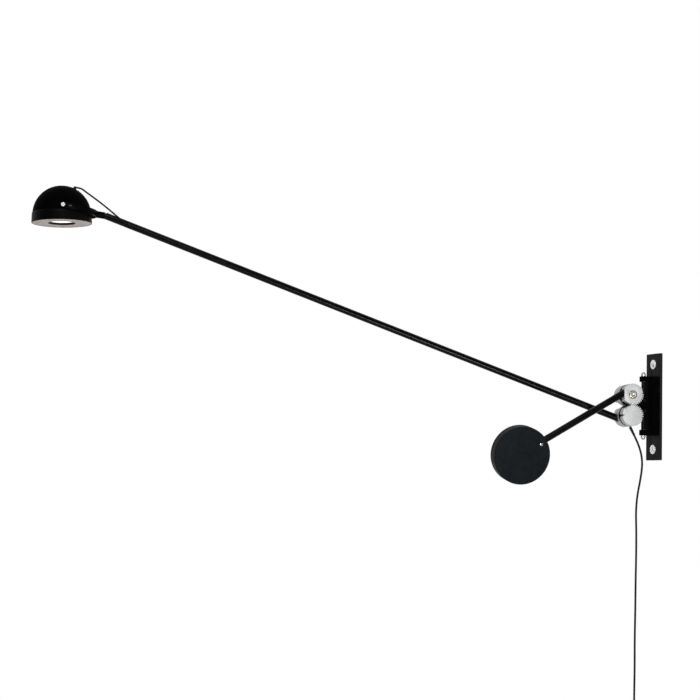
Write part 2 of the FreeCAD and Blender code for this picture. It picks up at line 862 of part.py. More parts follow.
# ---------------------------------------------------------------- counterweight
def weight_arm_tube():
    length = weight_reach + weight_arm_past_middle + tube_inner_end
    start = V(tube_inner_end, weight_tube_y, tube_offset)
    return on_weight_arm(tube(tube_dia, tube_dia - 2 * weight_wall, start, -X, length))


def weight_arm_grub_screws():
    return on_weight_arm(arm_grub_screws(-tube_offset, weight_tube_y))


def in_weight(shape):
    """Moves a piece drawn round the disc's middle, axis along Y, to the counterweight."""
    done = shape.copy()
    done.rotate(V(), X, weight_twist)
    done.translate(V(-weight_reach, weight_tube_y, tube_offset))
    return on_weight_arm(done)


def weight_faces():
    """How far the front and the rear face lie from the arm's middle, where the halves meet."""
    return weight_thick / 2 + weight_forward, weight_thick / 2 - weight_forward


def weight_half(front):
    """Half the disc, with half of the arm's hole and half of the groove round the rim."""
    front_depth, rear_depth = weight_faces()
    depth, outward = (front_depth, -Y) if front else (rear_depth, Y)
    disc = cylinder(weight_dia, V(), outward, depth)
    far = depth * outward.y
    outer_rim = [e for e in disc.Edges if e.BoundBox.YLength < 1e-6 and abs(e.BoundBox.YMin - far) < 1e-6]
    disc = disc.makeChamfer(weight_chamfer, outer_rim)
    inner_rim = [e for e in disc.Edges if e.BoundBox.YLength < 1e-6 and abs(e.BoundBox.YMin) < 1e-6]
    disc = disc.makeChamfer(weight_groove, inner_rim)
    cuts = [cylinder(tube_dia + 2 * fit_gap, V(weight_dia, 0, 0), -X, weight_dia + weight_arm_past_middle)]
    for place in weight_screw_places():
        seat = place + Y * (rear_depth - weight_screw_head_height)
        if front:
            cuts.append(cylinder(weight_screw_dia, seat, -Y, weight_screw_length() + 2))
        else:
            cuts.append(cylinder(weight_screw_dia + 0.6, seat, -Y, weight_thick))
            cuts.append(cylinder(weight_screw_head + 0.8, seat, Y, weight_thick))
    if front:
        middle = V(weight_grub_from_middle, 0, 0)
        cuts.append(cylinder(weight_grub_dia + 2 * fit_gap, middle, -Y, weight_thick))
    return in_weight(disc.cut(cuts))


def weight_screw_length():
    return weight_thick / 2


def weight_screw_places():
    radius = weight_screw_circle / 2
    return [V(radius * math.cos(math.radians(a)), 0, radius * math.sin(math.radians(a)))
            for a in (60, 180, 300)]


def weight_clamp_screws():
    """Three socket screws from behind that hold the two halves on the arm."""
    solids = []
    rear_depth = weight_faces()[1]
    for place in weight_screw_places():
        seat = place + Y * (rear_depth - weight_screw_head_height)
        shank = cylinder(weight_screw_dia, seat, -Y, weight_screw_length())
        height = weight_screw_head_height - weight_screw_sunk
        head = cylinder(weight_screw_head, seat, Y, height)
        socket = hexagon(weight_screw_socket, seat + Y * height, -Y, weight_screw_socket_depth)
        solids.append(joined([shank, head]).cut(socket))
    return in_weight(group(solids))


def weight_set_screw():
    """The bright set screw in the front face that bears on the arm."""
    start = V(weight_grub_from_middle, -tube_dia / 2 - fit_gap, 0)
    length = weight_faces()[0] - tube_dia / 2
    socket = hexagon(weight_grub_socket, start - Y * length, Y, weight_grub_socket_depth)
    return in_weight(cylinder(weight_grub_dia, start, -Y, length).cut(socket))


# ---------------------------------------------------------------- lamp head
dome_centre = V(-head_forward, 0, -dome_centre_drop)
seam_z = -dome_centre_drop + seam_above_centre
ring_bottom_z = seam_z - ring_height
face_bottom_z = ring_bottom_z + face_plate_inset
diffuser_z = face_bottom_z + recess_depth
chamber_z = diffuser_z + diffuser_thick
board_z = chamber_z + chamber_height
sink_z = board_z + board_thick
head_axis = V(-head_forward, 0, 0)


def grommet_line():
    """Where the cable's hole meets the dome, the way out of the dome, and the cable's way."""
    a = math.radians(grommet_angle)
    outward = V(math.sin(a), 0, math.cos(a))
    level = FreeCAD.Rotation(Y, head_tilt_rest).multVec(X)
    return dome_centre + outward * dome_radius, outward, level


def dome_shell():
    """A spun hemisphere, a little short of half, with holes for the pivots and the cable."""
    ball = Part.makeSphere(dome_radius, dome_centre)
    inside = Part.makeSphere(dome_radius - dome_wall, dome_centre)
    shell = ball.cut(inside)
    wide = 2 * dome_radius
    below = box(dome_centre - V(wide, wide, wide), dome_centre + V(wide, wide, seam_above_centre))
    shell = shell.cut(below)
    pivot_hole = cylinder(pivot_screw_dia + 2 * fit_gap, V(0, -wide, 0), Y, 2 * wide)
    place, outward, level = grommet_line()
    neck_hole = cylinder(grommet_neck_dia + 2 * fit_gap, place - outward * 12, outward, 24)
    return on_head(shell.cut([pivot_hole, neck_hole]))


def head_ring():
    """A deep ring under the dome: it swells a little towards its lower edge and has a lip inside."""
    inner = ring_radius - ring_wall
    lip_outer = math.sqrt((dome_radius - dome_wall) ** 2 - (seam_above_centre + ring_lip) ** 2) - 0.2
    profile = [(ring_top_radius, seam_z), (ring_top_radius + 0.7, seam_z - 3.0),
               (ring_radius, ring_bottom_z + 5.0), (ring_radius, ring_bottom_z + 0.8),
               (ring_radius - 0.8, ring_bottom_z), (inner, ring_bottom_z),
               (inner, face_bottom_z + face_plate_thick), (inner - 2.5, face_bottom_z + face_plate_thick),
               (inner - 2.5, seam_z - 4.0), (lip_outer - 1.5, seam_z - 2.0),
               (lip_outer - 1.5, seam_z + ring_lip), (lip_outer, seam_z + ring_lip), (lip_outer, seam_z)]
    ring = revolve(profile)
    ring.translate(head_axis)
    return on_head(ring)


def face_plate():
    """The flat disc with the round mouth that closes the head from below."""
    radius = ring_radius - ring_wall - fit_gap
    plate = tube(2 * radius, 2 * mouth_radius, head_axis + V(0, 0, face_bottom_z), Z, face_plate_thick)
    return on_head(plate)


def recess_tube():
    start = head_axis + V(0, 0, face_bottom_z + face_plate_thick)
    height = recess_depth - face_plate_thick
    return on_head(tube(2 * (mouth_radius + recess_wall), 2 * mouth_radius, start, Z, height))


def diffuser():
    start = head_axis + V(0, 0, diffuser_z)
    return on_head(cylinder(2 * (mouth_radius + recess_wall), start, Z, diffuser_thick))


def light_chamber():
    outer = mouth_radius + recess_wall
    start = head_axis + V(0, 0, chamber_z)
    return on_head(tube(2 * outer, 2 * mouth_radius - 2, start, Z, chamber_height))


def led_board():
    """A round board with its light source in the middle; it spans the chamber's top."""
    outer = mouth_radius + recess_wall
    board = cylinder(2 * outer, head_axis + V(0, 0, board_z), Z, board_thick)
    source = cylinder(light_source_dia, head_axis + V(0, 0, board_z), -Z, light_source_height)
    return on_head(joined([board, source]))


def heat_sink():
    """A round base with upright fins."""
    base = cylinder(2 * sink_radius, head_axis + V(0, 0, sink_z), Z, sink_base)
    fins = []
    count = int(sink_radius // sink_fin_pitch)
    for k in range(-count, count + 1):
        x = k * sink_fin_pitch
        half = math.sqrt(sink_radius ** 2 - (abs(x) + sink_fin / 2) ** 2) - 0.5
        low = head_axis + V(x - sink_fin / 2, -half, sink_z + sink_base)
        fins.append(box(low, low + V(sink_fin, 2 * half, sink_height - sink_base)))
    return on_head(joined([base] + fins))


def pivot_blocks():
    """Threaded bosses inside the dome for the pivot screws."""
    solids = []
    inside = Part.makeSphere(dome_radius - dome_wall, dome_centre)
    for side in (-1, 1):
        start = V(0, side * (dome_radius - pivot_block_length - pivot_block_from_rim), 0)
        block = cylinder(pivot_block_dia, start, Y * side, dome_radius).common(inside)
        solids.append(block.cut(cylinder(pivot_screw_dia + 2 * fit_gap, start, Y * side, dome_radius)))
    return on_head(group(solids))


def pivot_spacers():
    """Round spacers between the dome and the fork's arms."""
    solids = []
    ball = Part.makeSphere(dome_radius, dome_centre)
    reach = fork_inner_radius - pivot_screw_gap
    for side in (-1, 1):
        bar = cylinder(pivot_spacer_dia, V(), Y * side, reach)
        bore = cylinder(pivot_screw_dia + 2 * fit_gap, V(), Y * side, reach)
        solids.append(bar.cut([ball, bore]))
    return on_head(group(solids))


def pivot_screws():
    """Bright socket screws: each passes the fork's arm and turns in it with the head."""
    solids = []
    for side in (-1, 1):
        seat = V(0, side * (fork_inner_radius + fork_thick + pivot_screw_gap), 0)
        out = Y * side
        head = cylinder(pivot_screw_head, seat, out, pivot_screw_head_height)
        top = seat + out * pivot_screw_head_height
        rim = [e for e in head.Edges if e.BoundBox.YLength < 1e-6 and abs(e.BoundBox.YMin - top.y) < 1e-6]
        head = head.makeChamfer(pivot_screw_edge, rim)
        shank = cylinder(pivot_screw_dia, seat, -out, fork_thick + pivot_block_length + dome_wall)
        socket = hexagon(pivot_screw_socket, top, -out, pivot_screw_socket_depth)
        solids.append(joined([head, shank]).cut(socket))
    return on_head(group(solids))


def dome_grommet():
    """A small elbow on the dome: the cable leaves its open end level with the floor."""
    place, outward, level = grommet_line()
    ball = Part.makeSphere(dome_radius, dome_centre)
    collar = cylinder(grommet_dia, place - outward * 2, outward, 2 + grommet_rim).cut(ball)
    neck = cylinder(grommet_neck_dia, place - outward * 4, outward, 4 + grommet_rise)
    elbow = Part.makeSphere(grommet_ball_dia / 2, place + outward * grommet_rise)
    stub = cylinder(grommet_stub_dia, place + outward * grommet_rise, level, grommet_stub)
    return on_head(joined([collar, neck, elbow, stub]))


def stop_keys():
    """An oblong bright key let into the outside of each of the fork's arms near the pivot."""
    solids = []
    for side in (-1, 1):
        long, tall = key_length / 2, key_width / 2
        key = box(V(-long, 0, -tall), V(long, fork_thick / 2 + key_proud, tall))
        upright = [e for e in key.Edges if e.BoundBox.YLength > fork_thick / 4]
        key = key.makeFillet(0.95 * tall, upright)
        key.translate(V(0, fork_inner_radius + fork_thick / 2, 0))
        key.rotate(V(), Z, -key_turn())
        if side < 0:
            key = key.mirror(V(), Y)
        key.translate(V(-(fork_length - fork_straight), 0, 0))
        solids.append(key)
    return solids


def key_turn():
    """The key's place round the ring, from the end of the straight part of the fork's arm."""
    return math.degrees((key_from_pivot - fork_straight) / (fork_inner_radius + fork_thick))


def fork_keys():
    return on_fork(group(stop_keys()))


# ---------------------------------------------------------------- cords
def rounded_path(points):
    """Straight runs joined by tangent arcs, each as large as its two runs allow, and the radii."""
    edges, radii = [], []
    here = points[0]
    for i in range(1, len(points) - 1):
        before, corner, after = points[i - 1], points[i], points[i + 1]
        way_in = (corner - before).normalize()
        way_out = (after - corner).normalize()
        half_turn = math.acos(max(-1.0, min(1.0, way_in.dot(way_out)))) / 2
        shorter = min((corner - before).Length, (after - corner).Length)
        cut_back = 0.45 * shorter
        radius = cut_back / math.tan(half_turn)
        start, end = corner - way_in * cut_back, corner + way_out * cut_back
        inward = (way_out - way_in).normalize()
        middle = corner + inward * (radius / math.cos(half_turn) - radius)
        edges.append(Part.LineSegment(here, start).toShape())
        edges.append(Part.Arc(start, middle, end).toShape())
        radii.append(radius)
        here = end
    edges.append(Part.LineSegment(here, points[-1]).toShape())
    return Part.Wire(edges), radii


def swept(name, path, start, towards, dia, radii):
    """A round tube along a wire; prints its length, the radii and a check of its volume."""
    circle = Part.Wire(Part.Circle(start, towards - start, dia / 2).toShape())
    shell = Part.BRepOffsetAPI.MakePipeShell(path)
    shell.add(circle)
    shell.build()
    shell.makeSolid()
    solid = shell.shape()
    expected = math.pi * dia ** 2 / 4 * path.Length
    listed = ", ".join(f"{r:.0f}" for r in radii)
    print(f"{name}: length {path.Length:.1f}, volume ratio {solid.Volume / expected:.4f}, radii {listed}")
    return solid


def head_point(local):
    return FreeCAD.Rotation(Y, -head_tilt_rest).multVec(local) + pivot


def beside_tube(from_tip, side, up):
    """A point by the light arm's outer end: back from its tip, to the near side, and up."""
    return arm_tip - rise(light_rise) * from_tip + V(0, -side, 0) + rise(light_rise + 90) * up


# the cable's free stretch from the pivot: towards the wall, to the near side, and up
cable_route = ((62.0, 0.8, 51.2), (80.5, 2.2, 38.4), (112.0, 5.0, 15.8))


def cable_points():
    """From the dome's elbow in a short arch, nearly straight to the slot, and on into the bore."""
    place, outward, level = grommet_line()
    start = head_point(place + outward * grommet_rise + level * grommet_stub)
    points = [start, start + X * cable_first_run]
    points += [pivot + V(x, -side, z) for x, side, z in cable_route]
    middle = (slot_start + slot_end) / 2
    slope = math.tan(math.radians(slot_lean()))
    enters, inside = middle - 26.0, middle + 13.0
    points.append(beside_tube(enters, 9.9, (middle - enters) * slope))
    points.append(beside_tube(inside, 4.0, (middle - inside) * slope))
    points.append(beside_tube(inside + 20.0, lead_side, -lead_drop))
    points.append(beside_tube(lead_start, lead_side, -lead_drop))
    return points


def head_cable():
    points = cable_points()
    path, radii = rounded_path(points)
    solid = swept("head cable", path, points[0], points[1], cable_dia, radii)
    return at_axle(solid, lower_axle_z)


# the power cord's free stretch in the hinge's plane: out from the pin, and up
cord_route = ((24.6, -98.0), (12.6, -127.0), (6.4, -156.0), (6.6, -184.0), (12.6, -222.0),
              (20.6, -262.0), (24.4, -310.0), (22.6, -362.0), (22.4, -430.0), (23.6, -510.0),
              (23.9, -592.0), (25.2, -674.0), (24.6, -756.0), (25.6, -838.0))


def out_from_pin(out, side, up):
    return V(pin_x - out, side, up)


def gland_line():
    """The top of the cord's relief under the carrier plate, and the way it points."""
    start = out_from_pin(gland_place[0], cord_y, gland_place[1])
    first = out_from_pin(cord_route[0][0], cord_y, cord_route[0][1])
    return start, (first - start).normalize()


def cord_gland():
    """A relief with a thin neck let into the plate's edge; it is hollowed to clear the drums."""
    start, way = gland_line()
    body = cylinder(gland_dia, start - way * 3, way, gland_length - gland_tip_length + 3)
    tip = cylinder(gland_tip_dia, start, way, gland_length)
    clear = cylinder(2 * (tip_radius + 0.6), V(pin_x - axle_standoff, -50, lower_axle_z), Y, 100)
    neck = cylinder(gland_neck_dia, start - way * gland_seat, way, gland_seat + 3)
    return swivelled(joined([body.cut(clear), tip.cut(clear), neck]))


def cord_points():
    start, way = gland_line()
    points = [start + way * gland_length]
    points += [out_from_pin(out, cord_y, up) for out, up in cord_route]
    points.append(out_from_pin(cord_route[-1][0], cord_y, cord_drop_z))
    return points


def power_cord():
    points = cord_points()
    path, radii = rounded_path(points)
    return swivelled(swept("power cord", path, points[0], points[1], cord_dia, radii))


def coil_ends():
    """Where the coil's half turns begin and end, alternately on its near and its far side."""
    out, side = cord_route[-1][0], cord_y
    ends = [out_from_pin(out, side, cord_drop_z - coil_lead_in)]
    for k, radius in enumerate(coil_radii):
        side += 2 * radius if k % 2 == 0 else -2 * radius
        layer = coil_layer if k >= coil_climb else 0.0
        ends.append(out_from_pin(out + layer, side, cord_drop_z - coil_lead_in))
    return ends


def cord_coil():
    """Half turns in upright planes: in towards the middle in one layer and out in the next."""
    ends = coil_ends()
    top = ends[0] + Z * coil_lead_in
    edges = [Part.LineSegment(top, ends[0]).toShape()]
    radii = []
    for k in range(len(coil_radii)):
        start, end = ends[k], ends[k + 1]
        radius = (end - start).Length / 2
        bulge = -Z if k % 2 == 0 else Z
        edges.append(Part.Arc(start, (start + end) * 0.5 + bulge * radius, end).toShape())
        radii.append(radius)
    edges.append(Part.LineSegment(ends[-1], ends[-1] - Z * coil_tail).toShape())
    least = least_gap_in_coil(ends, radii)
    print(f"coil: least gap to itself {least:.2f} mm")
    return swivelled(swept("coil", Part.Wire(edges), top, ends[0], cord_dia, radii))


def least_gap_in_coil(ends, radii):
    """The least free distance between stretches of the coil that are not neighbours."""
    steps = 48
    points = []
    for k, radius in enumerate(radii):
        middle, spoke = (ends[k] + ends[k + 1]) * 0.5, (ends[k] - ends[k + 1]) * 0.5
        bulge = -Z if k % 2 == 0 else Z
        for i in range(steps):
            a = math.pi * i / steps
            points.append(middle + spoke * math.cos(a) + bulge * (radius * math.sin(a)))
    points += [ends[-1] - Z * (coil_tail * i / 24) for i in range(25)]
    least = 1e9
    for i in range(len(points)):
        for j in range(i + steps, len(points)):
            least = min(least, (points[i] - points[j]).Length)
    return least - cord_dia


def cord_tie():
    """A strap round the coil's far side."""
    ends = coil_ends()
    sides = sorted(e.y for e in ends[1::2])
    outs = sorted(e.x for e in ends)
    reach = cord_dia / 2
    z = ends[0].z
    low = V(outs[0] - reach - tie_grip, sides[0] - reach - tie_clearance, z - tie_width / 2)
    high = V(outs[-1] + reach + tie_grip, sides[-1] + reach + tie_clearance, z + tie_width / 2)
    wall = V(tie_wall, tie_wall, 0)
    outer = box(low - wall, high + wall)
    upright = [e for e in outer.Edges if e.BoundBox.ZLength > tie_width / 2]
    outer = outer.makeFillet(tie_wall * 1.5, upright)
    return swivelled(outer.cut(box(low - V(0, 0, 1), high + V(0, 0, 1))))


def plug_top():
    return coil_ends()[-1] - Z * coil_tail


def plug_body():
    """A flat two-pin plug: a narrow neck that widens to the face with the pins."""
    top = plug_top()
    half_neck, half_wide = plug_neck_width / 2, plug_width / 2
    right = [(half_neck, 0), (half_neck + 1, -plug_neck_length), (half_wide, -plug_shoulder),
             (half_wide, -plug_length)]
    outline = [V(0, y, z) for y, z in right] + [V(0, -y, z) for y, z in reversed(right)]
    body = prism([top + p - X * (plug_thick / 2) for p in outline], X * plug_thick)
    long_edges = [e for e in body.Edges if e.BoundBox.XLength < 1e-6 and e.BoundBox.ZLength > 5]
    return swivelled(body.makeFillet(plug_round, long_edges))


def plug_pins():
    top = plug_top() - Z * plug_length
    pins = []
    for side in (-1, 1):
        pin = cylinder(plug_pin_dia, top + Y * (side * plug_pin_spacing / 2), -Z, plug_pin_length)
        tip = [e for e in pin.Edges if e.BoundBox.ZMax < top.z - plug_pin_length + 1e-6]
        pins.append(pin.makeFillet(plug_pin_round, tip))
    return swivelled(group(pins))


# ---------------------------------------------------------------- every node, root first
nodes = {
    "wall_plate": wall_plate(),
    "wall_washers": wall_washers(),
    "wall_screws": wall_screws(),
    "bracket_body": bracket_body(),
    "bracket_screws": bracket_screws(),
    "pin_bushes": pin_bushes(),
    "swivel_pin": swivel_pin(),
    "pin_washers": pin_washers(),
    "pin_nuts": pin_nuts(),
    "swivel_hub": swivel_hub(),
    "hub_grub_screw": hub_grub_screw(),
    "carrier_plate": carrier_plate(),
    "carrier_screws": carrier_screws(),
    "axle_bushes": axle_bushes(),
    "cord_gland": cord_gland(),
    "power_cord": power_cord(),
    "cord_coil": cord_coil(),
    "cord_tie": cord_tie(),
    "plug_body": plug_body(),
    "plug_pins": plug_pins(),
    "lower_axle": lower_axle(),
    "lower_axle_screw": at_axle(axle_screw(rear_back_y, -Y), lower_axle_z),
    "lower_front_drum": lower_front_drum(),
    "lower_rear_drum": lower_rear_drum(),
    "light_arm_tube": light_arm_tube(),
    "light_arm_grub_screws": light_arm_grub_screws(),
    "arm_lead": arm_lead(),
    "head_cable": head_cable(),
    "fork": fork(),
    "fork_keys": fork_keys(),
    "fork_spigot": fork_spigot(),
    "upper_axle": upper_axle(),
    "upper_axle_screw": at_axle(axle_screw(-stack_front, Y), upper_axle_z),
    "upper_front_drum": upper_front_drum(),
    "upper_rear_drum": upper_rear_drum(),
    "weight_arm_tube": weight_arm_tube(),
    "weight_arm_grub_screws": weight_arm_grub_screws(),
    "weight_front_half": weight_half(True),
    "weight_rear_half": weight_half(False),
    "weight_clamp_screws": weight_clamp_screws(),
    "weight_set_screw": weight_set_screw(),
    "dome_shell": dome_shell(),
    "head_ring": head_ring(),
    "face_plate": face_plate(),
    "recess_tube": recess_tube(),
    "diffuser": diffuser(),
    "light_chamber": light_chamber(),
    "led_board": led_board(),
    "heat_sink": heat_sink(),
    "pivot_blocks": pivot_blocks(),
    "pivot_spacers": pivot_spacers(),
    "pivot_screws": pivot_screws(),
    "dome_grommet": dome_grommet(),
}

for name, shape in nodes.items():
    if not shape.isValid():
        print(f"{name}: the shape is not valid")
    solids = len(shape.Solids)
    if solids != 1 and shape.ShapeType != "Compound":
        print(f"{name}: {solids} solids")
    shape.exportStep(f"parts/{name}.step")

lower_axle_place = swivelled(Part.Vertex(V(pin_x - axle_standoff, 0, lower_axle_z))).Point
upper_axle_place = swivelled(Part.Vertex(V(pin_x - axle_standoff, 0, upper_axle_z))).Point
pivot_place = at_axle(Part.Vertex(pivot), lower_axle_z).Point
print("lower axle", tuple(round(v, 3) for v in lower_axle_place))
print("upper axle", tuple(round(v, 3) for v in upper_axle_place))
print("head pivot", tuple(round(v, 3) for v in pivot_place))
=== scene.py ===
import bpy
import json
import math
from mathutils import Matrix, Vector

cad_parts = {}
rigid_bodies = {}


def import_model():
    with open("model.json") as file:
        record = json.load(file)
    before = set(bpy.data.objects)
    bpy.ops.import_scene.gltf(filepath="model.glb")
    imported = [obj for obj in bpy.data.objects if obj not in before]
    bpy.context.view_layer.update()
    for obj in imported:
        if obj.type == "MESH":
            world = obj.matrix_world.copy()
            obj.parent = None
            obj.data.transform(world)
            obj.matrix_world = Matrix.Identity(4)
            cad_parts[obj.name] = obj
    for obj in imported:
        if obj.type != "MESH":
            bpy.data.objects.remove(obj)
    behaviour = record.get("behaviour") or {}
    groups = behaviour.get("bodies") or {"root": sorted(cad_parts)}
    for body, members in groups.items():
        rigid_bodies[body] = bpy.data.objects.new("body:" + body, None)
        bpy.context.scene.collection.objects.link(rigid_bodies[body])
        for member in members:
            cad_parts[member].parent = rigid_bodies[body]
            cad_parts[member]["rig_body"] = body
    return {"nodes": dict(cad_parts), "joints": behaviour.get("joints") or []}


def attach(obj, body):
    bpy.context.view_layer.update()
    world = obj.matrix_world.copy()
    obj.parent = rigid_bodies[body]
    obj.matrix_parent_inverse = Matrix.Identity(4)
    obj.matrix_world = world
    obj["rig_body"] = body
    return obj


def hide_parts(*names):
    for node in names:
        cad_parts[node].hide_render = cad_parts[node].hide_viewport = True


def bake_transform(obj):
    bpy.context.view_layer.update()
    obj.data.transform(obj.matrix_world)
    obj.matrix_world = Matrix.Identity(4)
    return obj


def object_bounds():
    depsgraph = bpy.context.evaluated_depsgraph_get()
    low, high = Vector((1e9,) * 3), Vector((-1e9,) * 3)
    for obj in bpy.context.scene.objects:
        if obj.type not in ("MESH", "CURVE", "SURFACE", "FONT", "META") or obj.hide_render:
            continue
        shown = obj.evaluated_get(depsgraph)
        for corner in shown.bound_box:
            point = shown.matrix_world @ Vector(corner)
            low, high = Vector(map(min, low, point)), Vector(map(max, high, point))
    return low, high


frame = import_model()
cad_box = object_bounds()
joints = {joint["name"]: joint for joint in frame["joints"]}

# ---------------------------------------------------------------- the view
# The camera stands in front and below, to the left of the wall, and looks along the wall a little
# upwards. Its place and turns come from fitting it to the photograph's frame of 700 by 700.
camera_place = (-2.923, -4.531, -0.267)
camera_turn_from_wall_line = math.radians(23.162)
camera_look_up = math.radians(4.501)
camera_roll = math.radians(1.117)
camera_lens = 92.57

camera = bpy.data.objects.new("camera", bpy.data.cameras.new("camera"))
bpy.context.collection.objects.link(camera)
camera.data.sensor_width = 36.0
camera.data.lens = camera_lens
camera.data.clip_end = 100.0
camera.matrix_world = (Matrix.Translation(camera_place)
                       @ Matrix.Rotation(-camera_turn_from_wall_line, 4, "Z")
                       @ Matrix.Rotation(math.pi / 2 + camera_look_up, 4, "X")
                       @ Matrix.Rotation(camera_roll, 4, "Z"))
bpy.context.scene.camera = camera
bpy.context.scene.view_settings.view_transform = "Standard"


# ---------------------------------------------------------------- the room
# A studio: a white backdrop behind the lamp and a dim side behind the camera, a pale floor well
# below, a broad softbox high on the left, a low one by the camera, and weak fill from the right.
class Socket:
    """One value of a finish. Sums, products and other maths of values add their nodes."""

    def __init__(self, nodes, link):
        self.nodes = nodes
        self.link = link

    def maths(self, operation, *values):
        return self.nodes.add("ShaderNodeMath", {"operation": operation}, dict(enumerate(values)))

    def __add__(self, other):
        return self.maths("ADD", self, other)

    def __radd__(self, other):
        return self.maths("ADD", other, self)

    def __sub__(self, other):
        return self.maths("SUBTRACT", self, other)

    def __rsub__(self, other):
        return self.maths("SUBTRACT", other, self)

    def __mul__(self, other):
        return self.maths("MULTIPLY", self, other)

    def __rmul__(self, other):
        return self.maths("MULTIPLY", other, self)

    def __pow__(self, other):
        return self.maths("POWER", self, other)

    def __abs__(self):
        return self.maths("ABSOLUTE", self)

    def between(self, low, high):
        """0 below low, 1 above high, and smooth between."""
        inputs = {0: self, 1: low, 2: high, 3: 0.0, 4: 1.0}
        return self.nodes.add("ShaderNodeMapRange", {"interpolation_type": "SMOOTHSTEP"}, inputs)


class Nodes:
    """The nodes of the room or of a finish."""

    def __init__(self, tree):
        self.tree = tree

    def add(self, kind, settings, inputs, output=0):
        """Adds a node: its settings first, then the values or links of its inputs."""
        node = self.tree.nodes.new(kind)
        for name, value in settings.items():
            setattr(node, name, value)
        for key, value in inputs.items():
            self.feed(node.inputs[key], value)
        return Socket(self, node.outputs[output])

    def feed(self, socket, value):
        """Links a value of the finish to an input, or sets the input to a constant."""
        if isinstance(value, Socket):
            self.tree.links.new(value.link, socket)
        else:
            socket.default_value = value

    def vector(self, operation, first, second, output=0):
        inputs = {0: first, 1: second}
        return self.add("ShaderNodeVectorMath", {"operation": operation}, inputs, output)


class Finish(Nodes):
    """A material: its surface, and the nodes that change it from place to place."""

    def __init__(self, name, colour, rough, metal=0.0, shine=0.5):
        self.material = bpy.data.materials.new(name)
        self.material.use_nodes = True
        super().__init__(self.material.node_tree)
        self.surface = self.tree.nodes["Principled BSDF"]
        self.set("Base Color", (*colour, 1.0))
        self.set("Roughness", rough)
        self.set("Metallic", metal)
        self.set("Specular IOR Level", shine)

    def set(self, name, value):
        """Sets or links an input of the surface."""
        self.feed(self.surface.inputs[name], value)

    def place(self):
        """The point on the piece, in metres."""
        return self.add("ShaderNodeTexCoord", {}, {}, "Object")

    def noise(self, where, per_metre, detail=2.0):
        """Soft noise from 0 to 1, with so many blobs to a metre."""
        inputs = {"Vector": where, "Scale": per_metre, "Detail": detail}
        return self.add("ShaderNodeTexNoise", {}, inputs)

    def mix(self, share, first, second):
        """A colour between two colours."""
        ends = [end if isinstance(end, Socket) else (*end, 1.0) for end in (first, second)]
        inputs = {0: share, 6: ends[0], 7: ends[1]}
        return self.add("ShaderNodeMix", {"data_type": "RGBA"}, inputs, 2)

    def open_air(self, reach):
        """1 on open faces, and less in the piece's own gaps and sockets up to reach wide: the mask
        for painted shade.
        """
        settings = {"only_local": True, "samples": 12}
        return self.add("ShaderNodeAmbientOcclusion", settings, {"Distance": reach}, "AO")

    def bump(self, height, depth):
        """Raises the surface by height, from 0 to 1, times a depth in metres."""
        inputs = {"Height": height, "Distance": depth, "Strength": 1.0}
        self.set("Normal", self.add("ShaderNodeBump", {}, inputs))

    def onto(self, *pieces):
        """Puts the finish on solids, by name, and on new pieces."""
        for piece in pieces:
            mesh = frame["nodes"][piece].data if isinstance(piece, str) else piece.data
            mesh.materials.clear()
            mesh.materials.append(self.material)


floor_drop = 0.85
floor_reach = 3.0
floor_glow = 0.7
lamp_middle = (-0.8, 0.2, 0.1)


def grey(level):
    return (level, level, level)


def floor_finish():
    """Pale matt floor; the camera and the lamp's mirror sides see it nearly white."""
    finish = Finish("pale_floor", grey(0.86), 0.9, 0.0, 0.1)
    seen = finish.add("ShaderNodeLightPath", {}, {}, "Is Camera Ray")
    mirrored = finish.add("ShaderNodeLightPath", {}, {}, "Is Glossy Ray")
    white = finish.add("ShaderNodeEmission", {}, {"Color": (1.0, 1.0, 1.0, 1.0)})
    grain = finish.noise(finish.place(), 300.0, 3.0)
    finish.set("Base Color", finish.mix(grain, grey(0.84), grey(0.88)))
    shaded = Socket(finish, finish.surface.outputs[0])
    share = (seen + mirrored) * floor_glow
    both = finish.add("ShaderNodeMixShader", {}, {0: share, 1: shaded, 2: white})
    finish.feed(finish.tree.nodes["Material Output"].inputs[0], both)
    return finish


bpy.ops.object.select_all(action="DESELECT")
floor_place = (lamp_middle[0], lamp_middle[1], cad_box[0][2] - floor_drop)
bpy.ops.mesh.primitive_plane_add(size=2 * floor_reach, location=floor_place)
floor = bpy.context.object
floor.name = "floor"
floor_finish().onto(floor)

room_ambient = 0.42
dim_side = 0.10
backdrop_way = (0.36, 0.90, 0.25)
backdrop_fades = (-0.35, 0.45)

world = bpy.data.worlds.new("studio")
bpy.context.scene.world = world
world.use_nodes = True
studio = Nodes(world.node_tree)
direct = (studio.add("ShaderNodeLightPath", {}, {}, "Is Camera Ray")
          + studio.add("ShaderNodeLightPath", {}, {}, "Is Transmission Ray"))
mirrored = studio.add("ShaderNodeLightPath", {}, {}, "Is Glossy Ray")
looking = studio.add("ShaderNodeTexCoord", {}, {}, "Generated")
facing_it = studio.vector("DOT_PRODUCT", looking, backdrop_way, "Value")
to_backdrop = facing_it.between(*backdrop_fades)
mirror_level = dim_side + to_backdrop * (1.0 - dim_side)
level = direct + (1.0 - direct) * (mirrored * mirror_level + (1.0 - mirrored) * room_ambient)
studio.feed(world.node_tree.nodes["Background"].inputs[0], (1.0, 1.0, 1.0, 1.0))
studio.feed(world.node_tree.nodes["Background"].inputs[1], level)


def soft_light(name, place, target, size, power):
    """A rectangular softbox that faces its target."""
    light = bpy.data.lights.new(name, "AREA")
    light.shape = "RECTANGLE"
    light.size, light.size_y = size
    light.energy = power
    lamp = bpy.data.objects.new(name, light)
    bpy.context.collection.objects.link(lamp)
    away = Vector(place) - Vector(target)
    turn = away.to_track_quat("Z", "Y").to_matrix().to_4x4()
    lamp.matrix_world = Matrix.Translation(place) @ turn


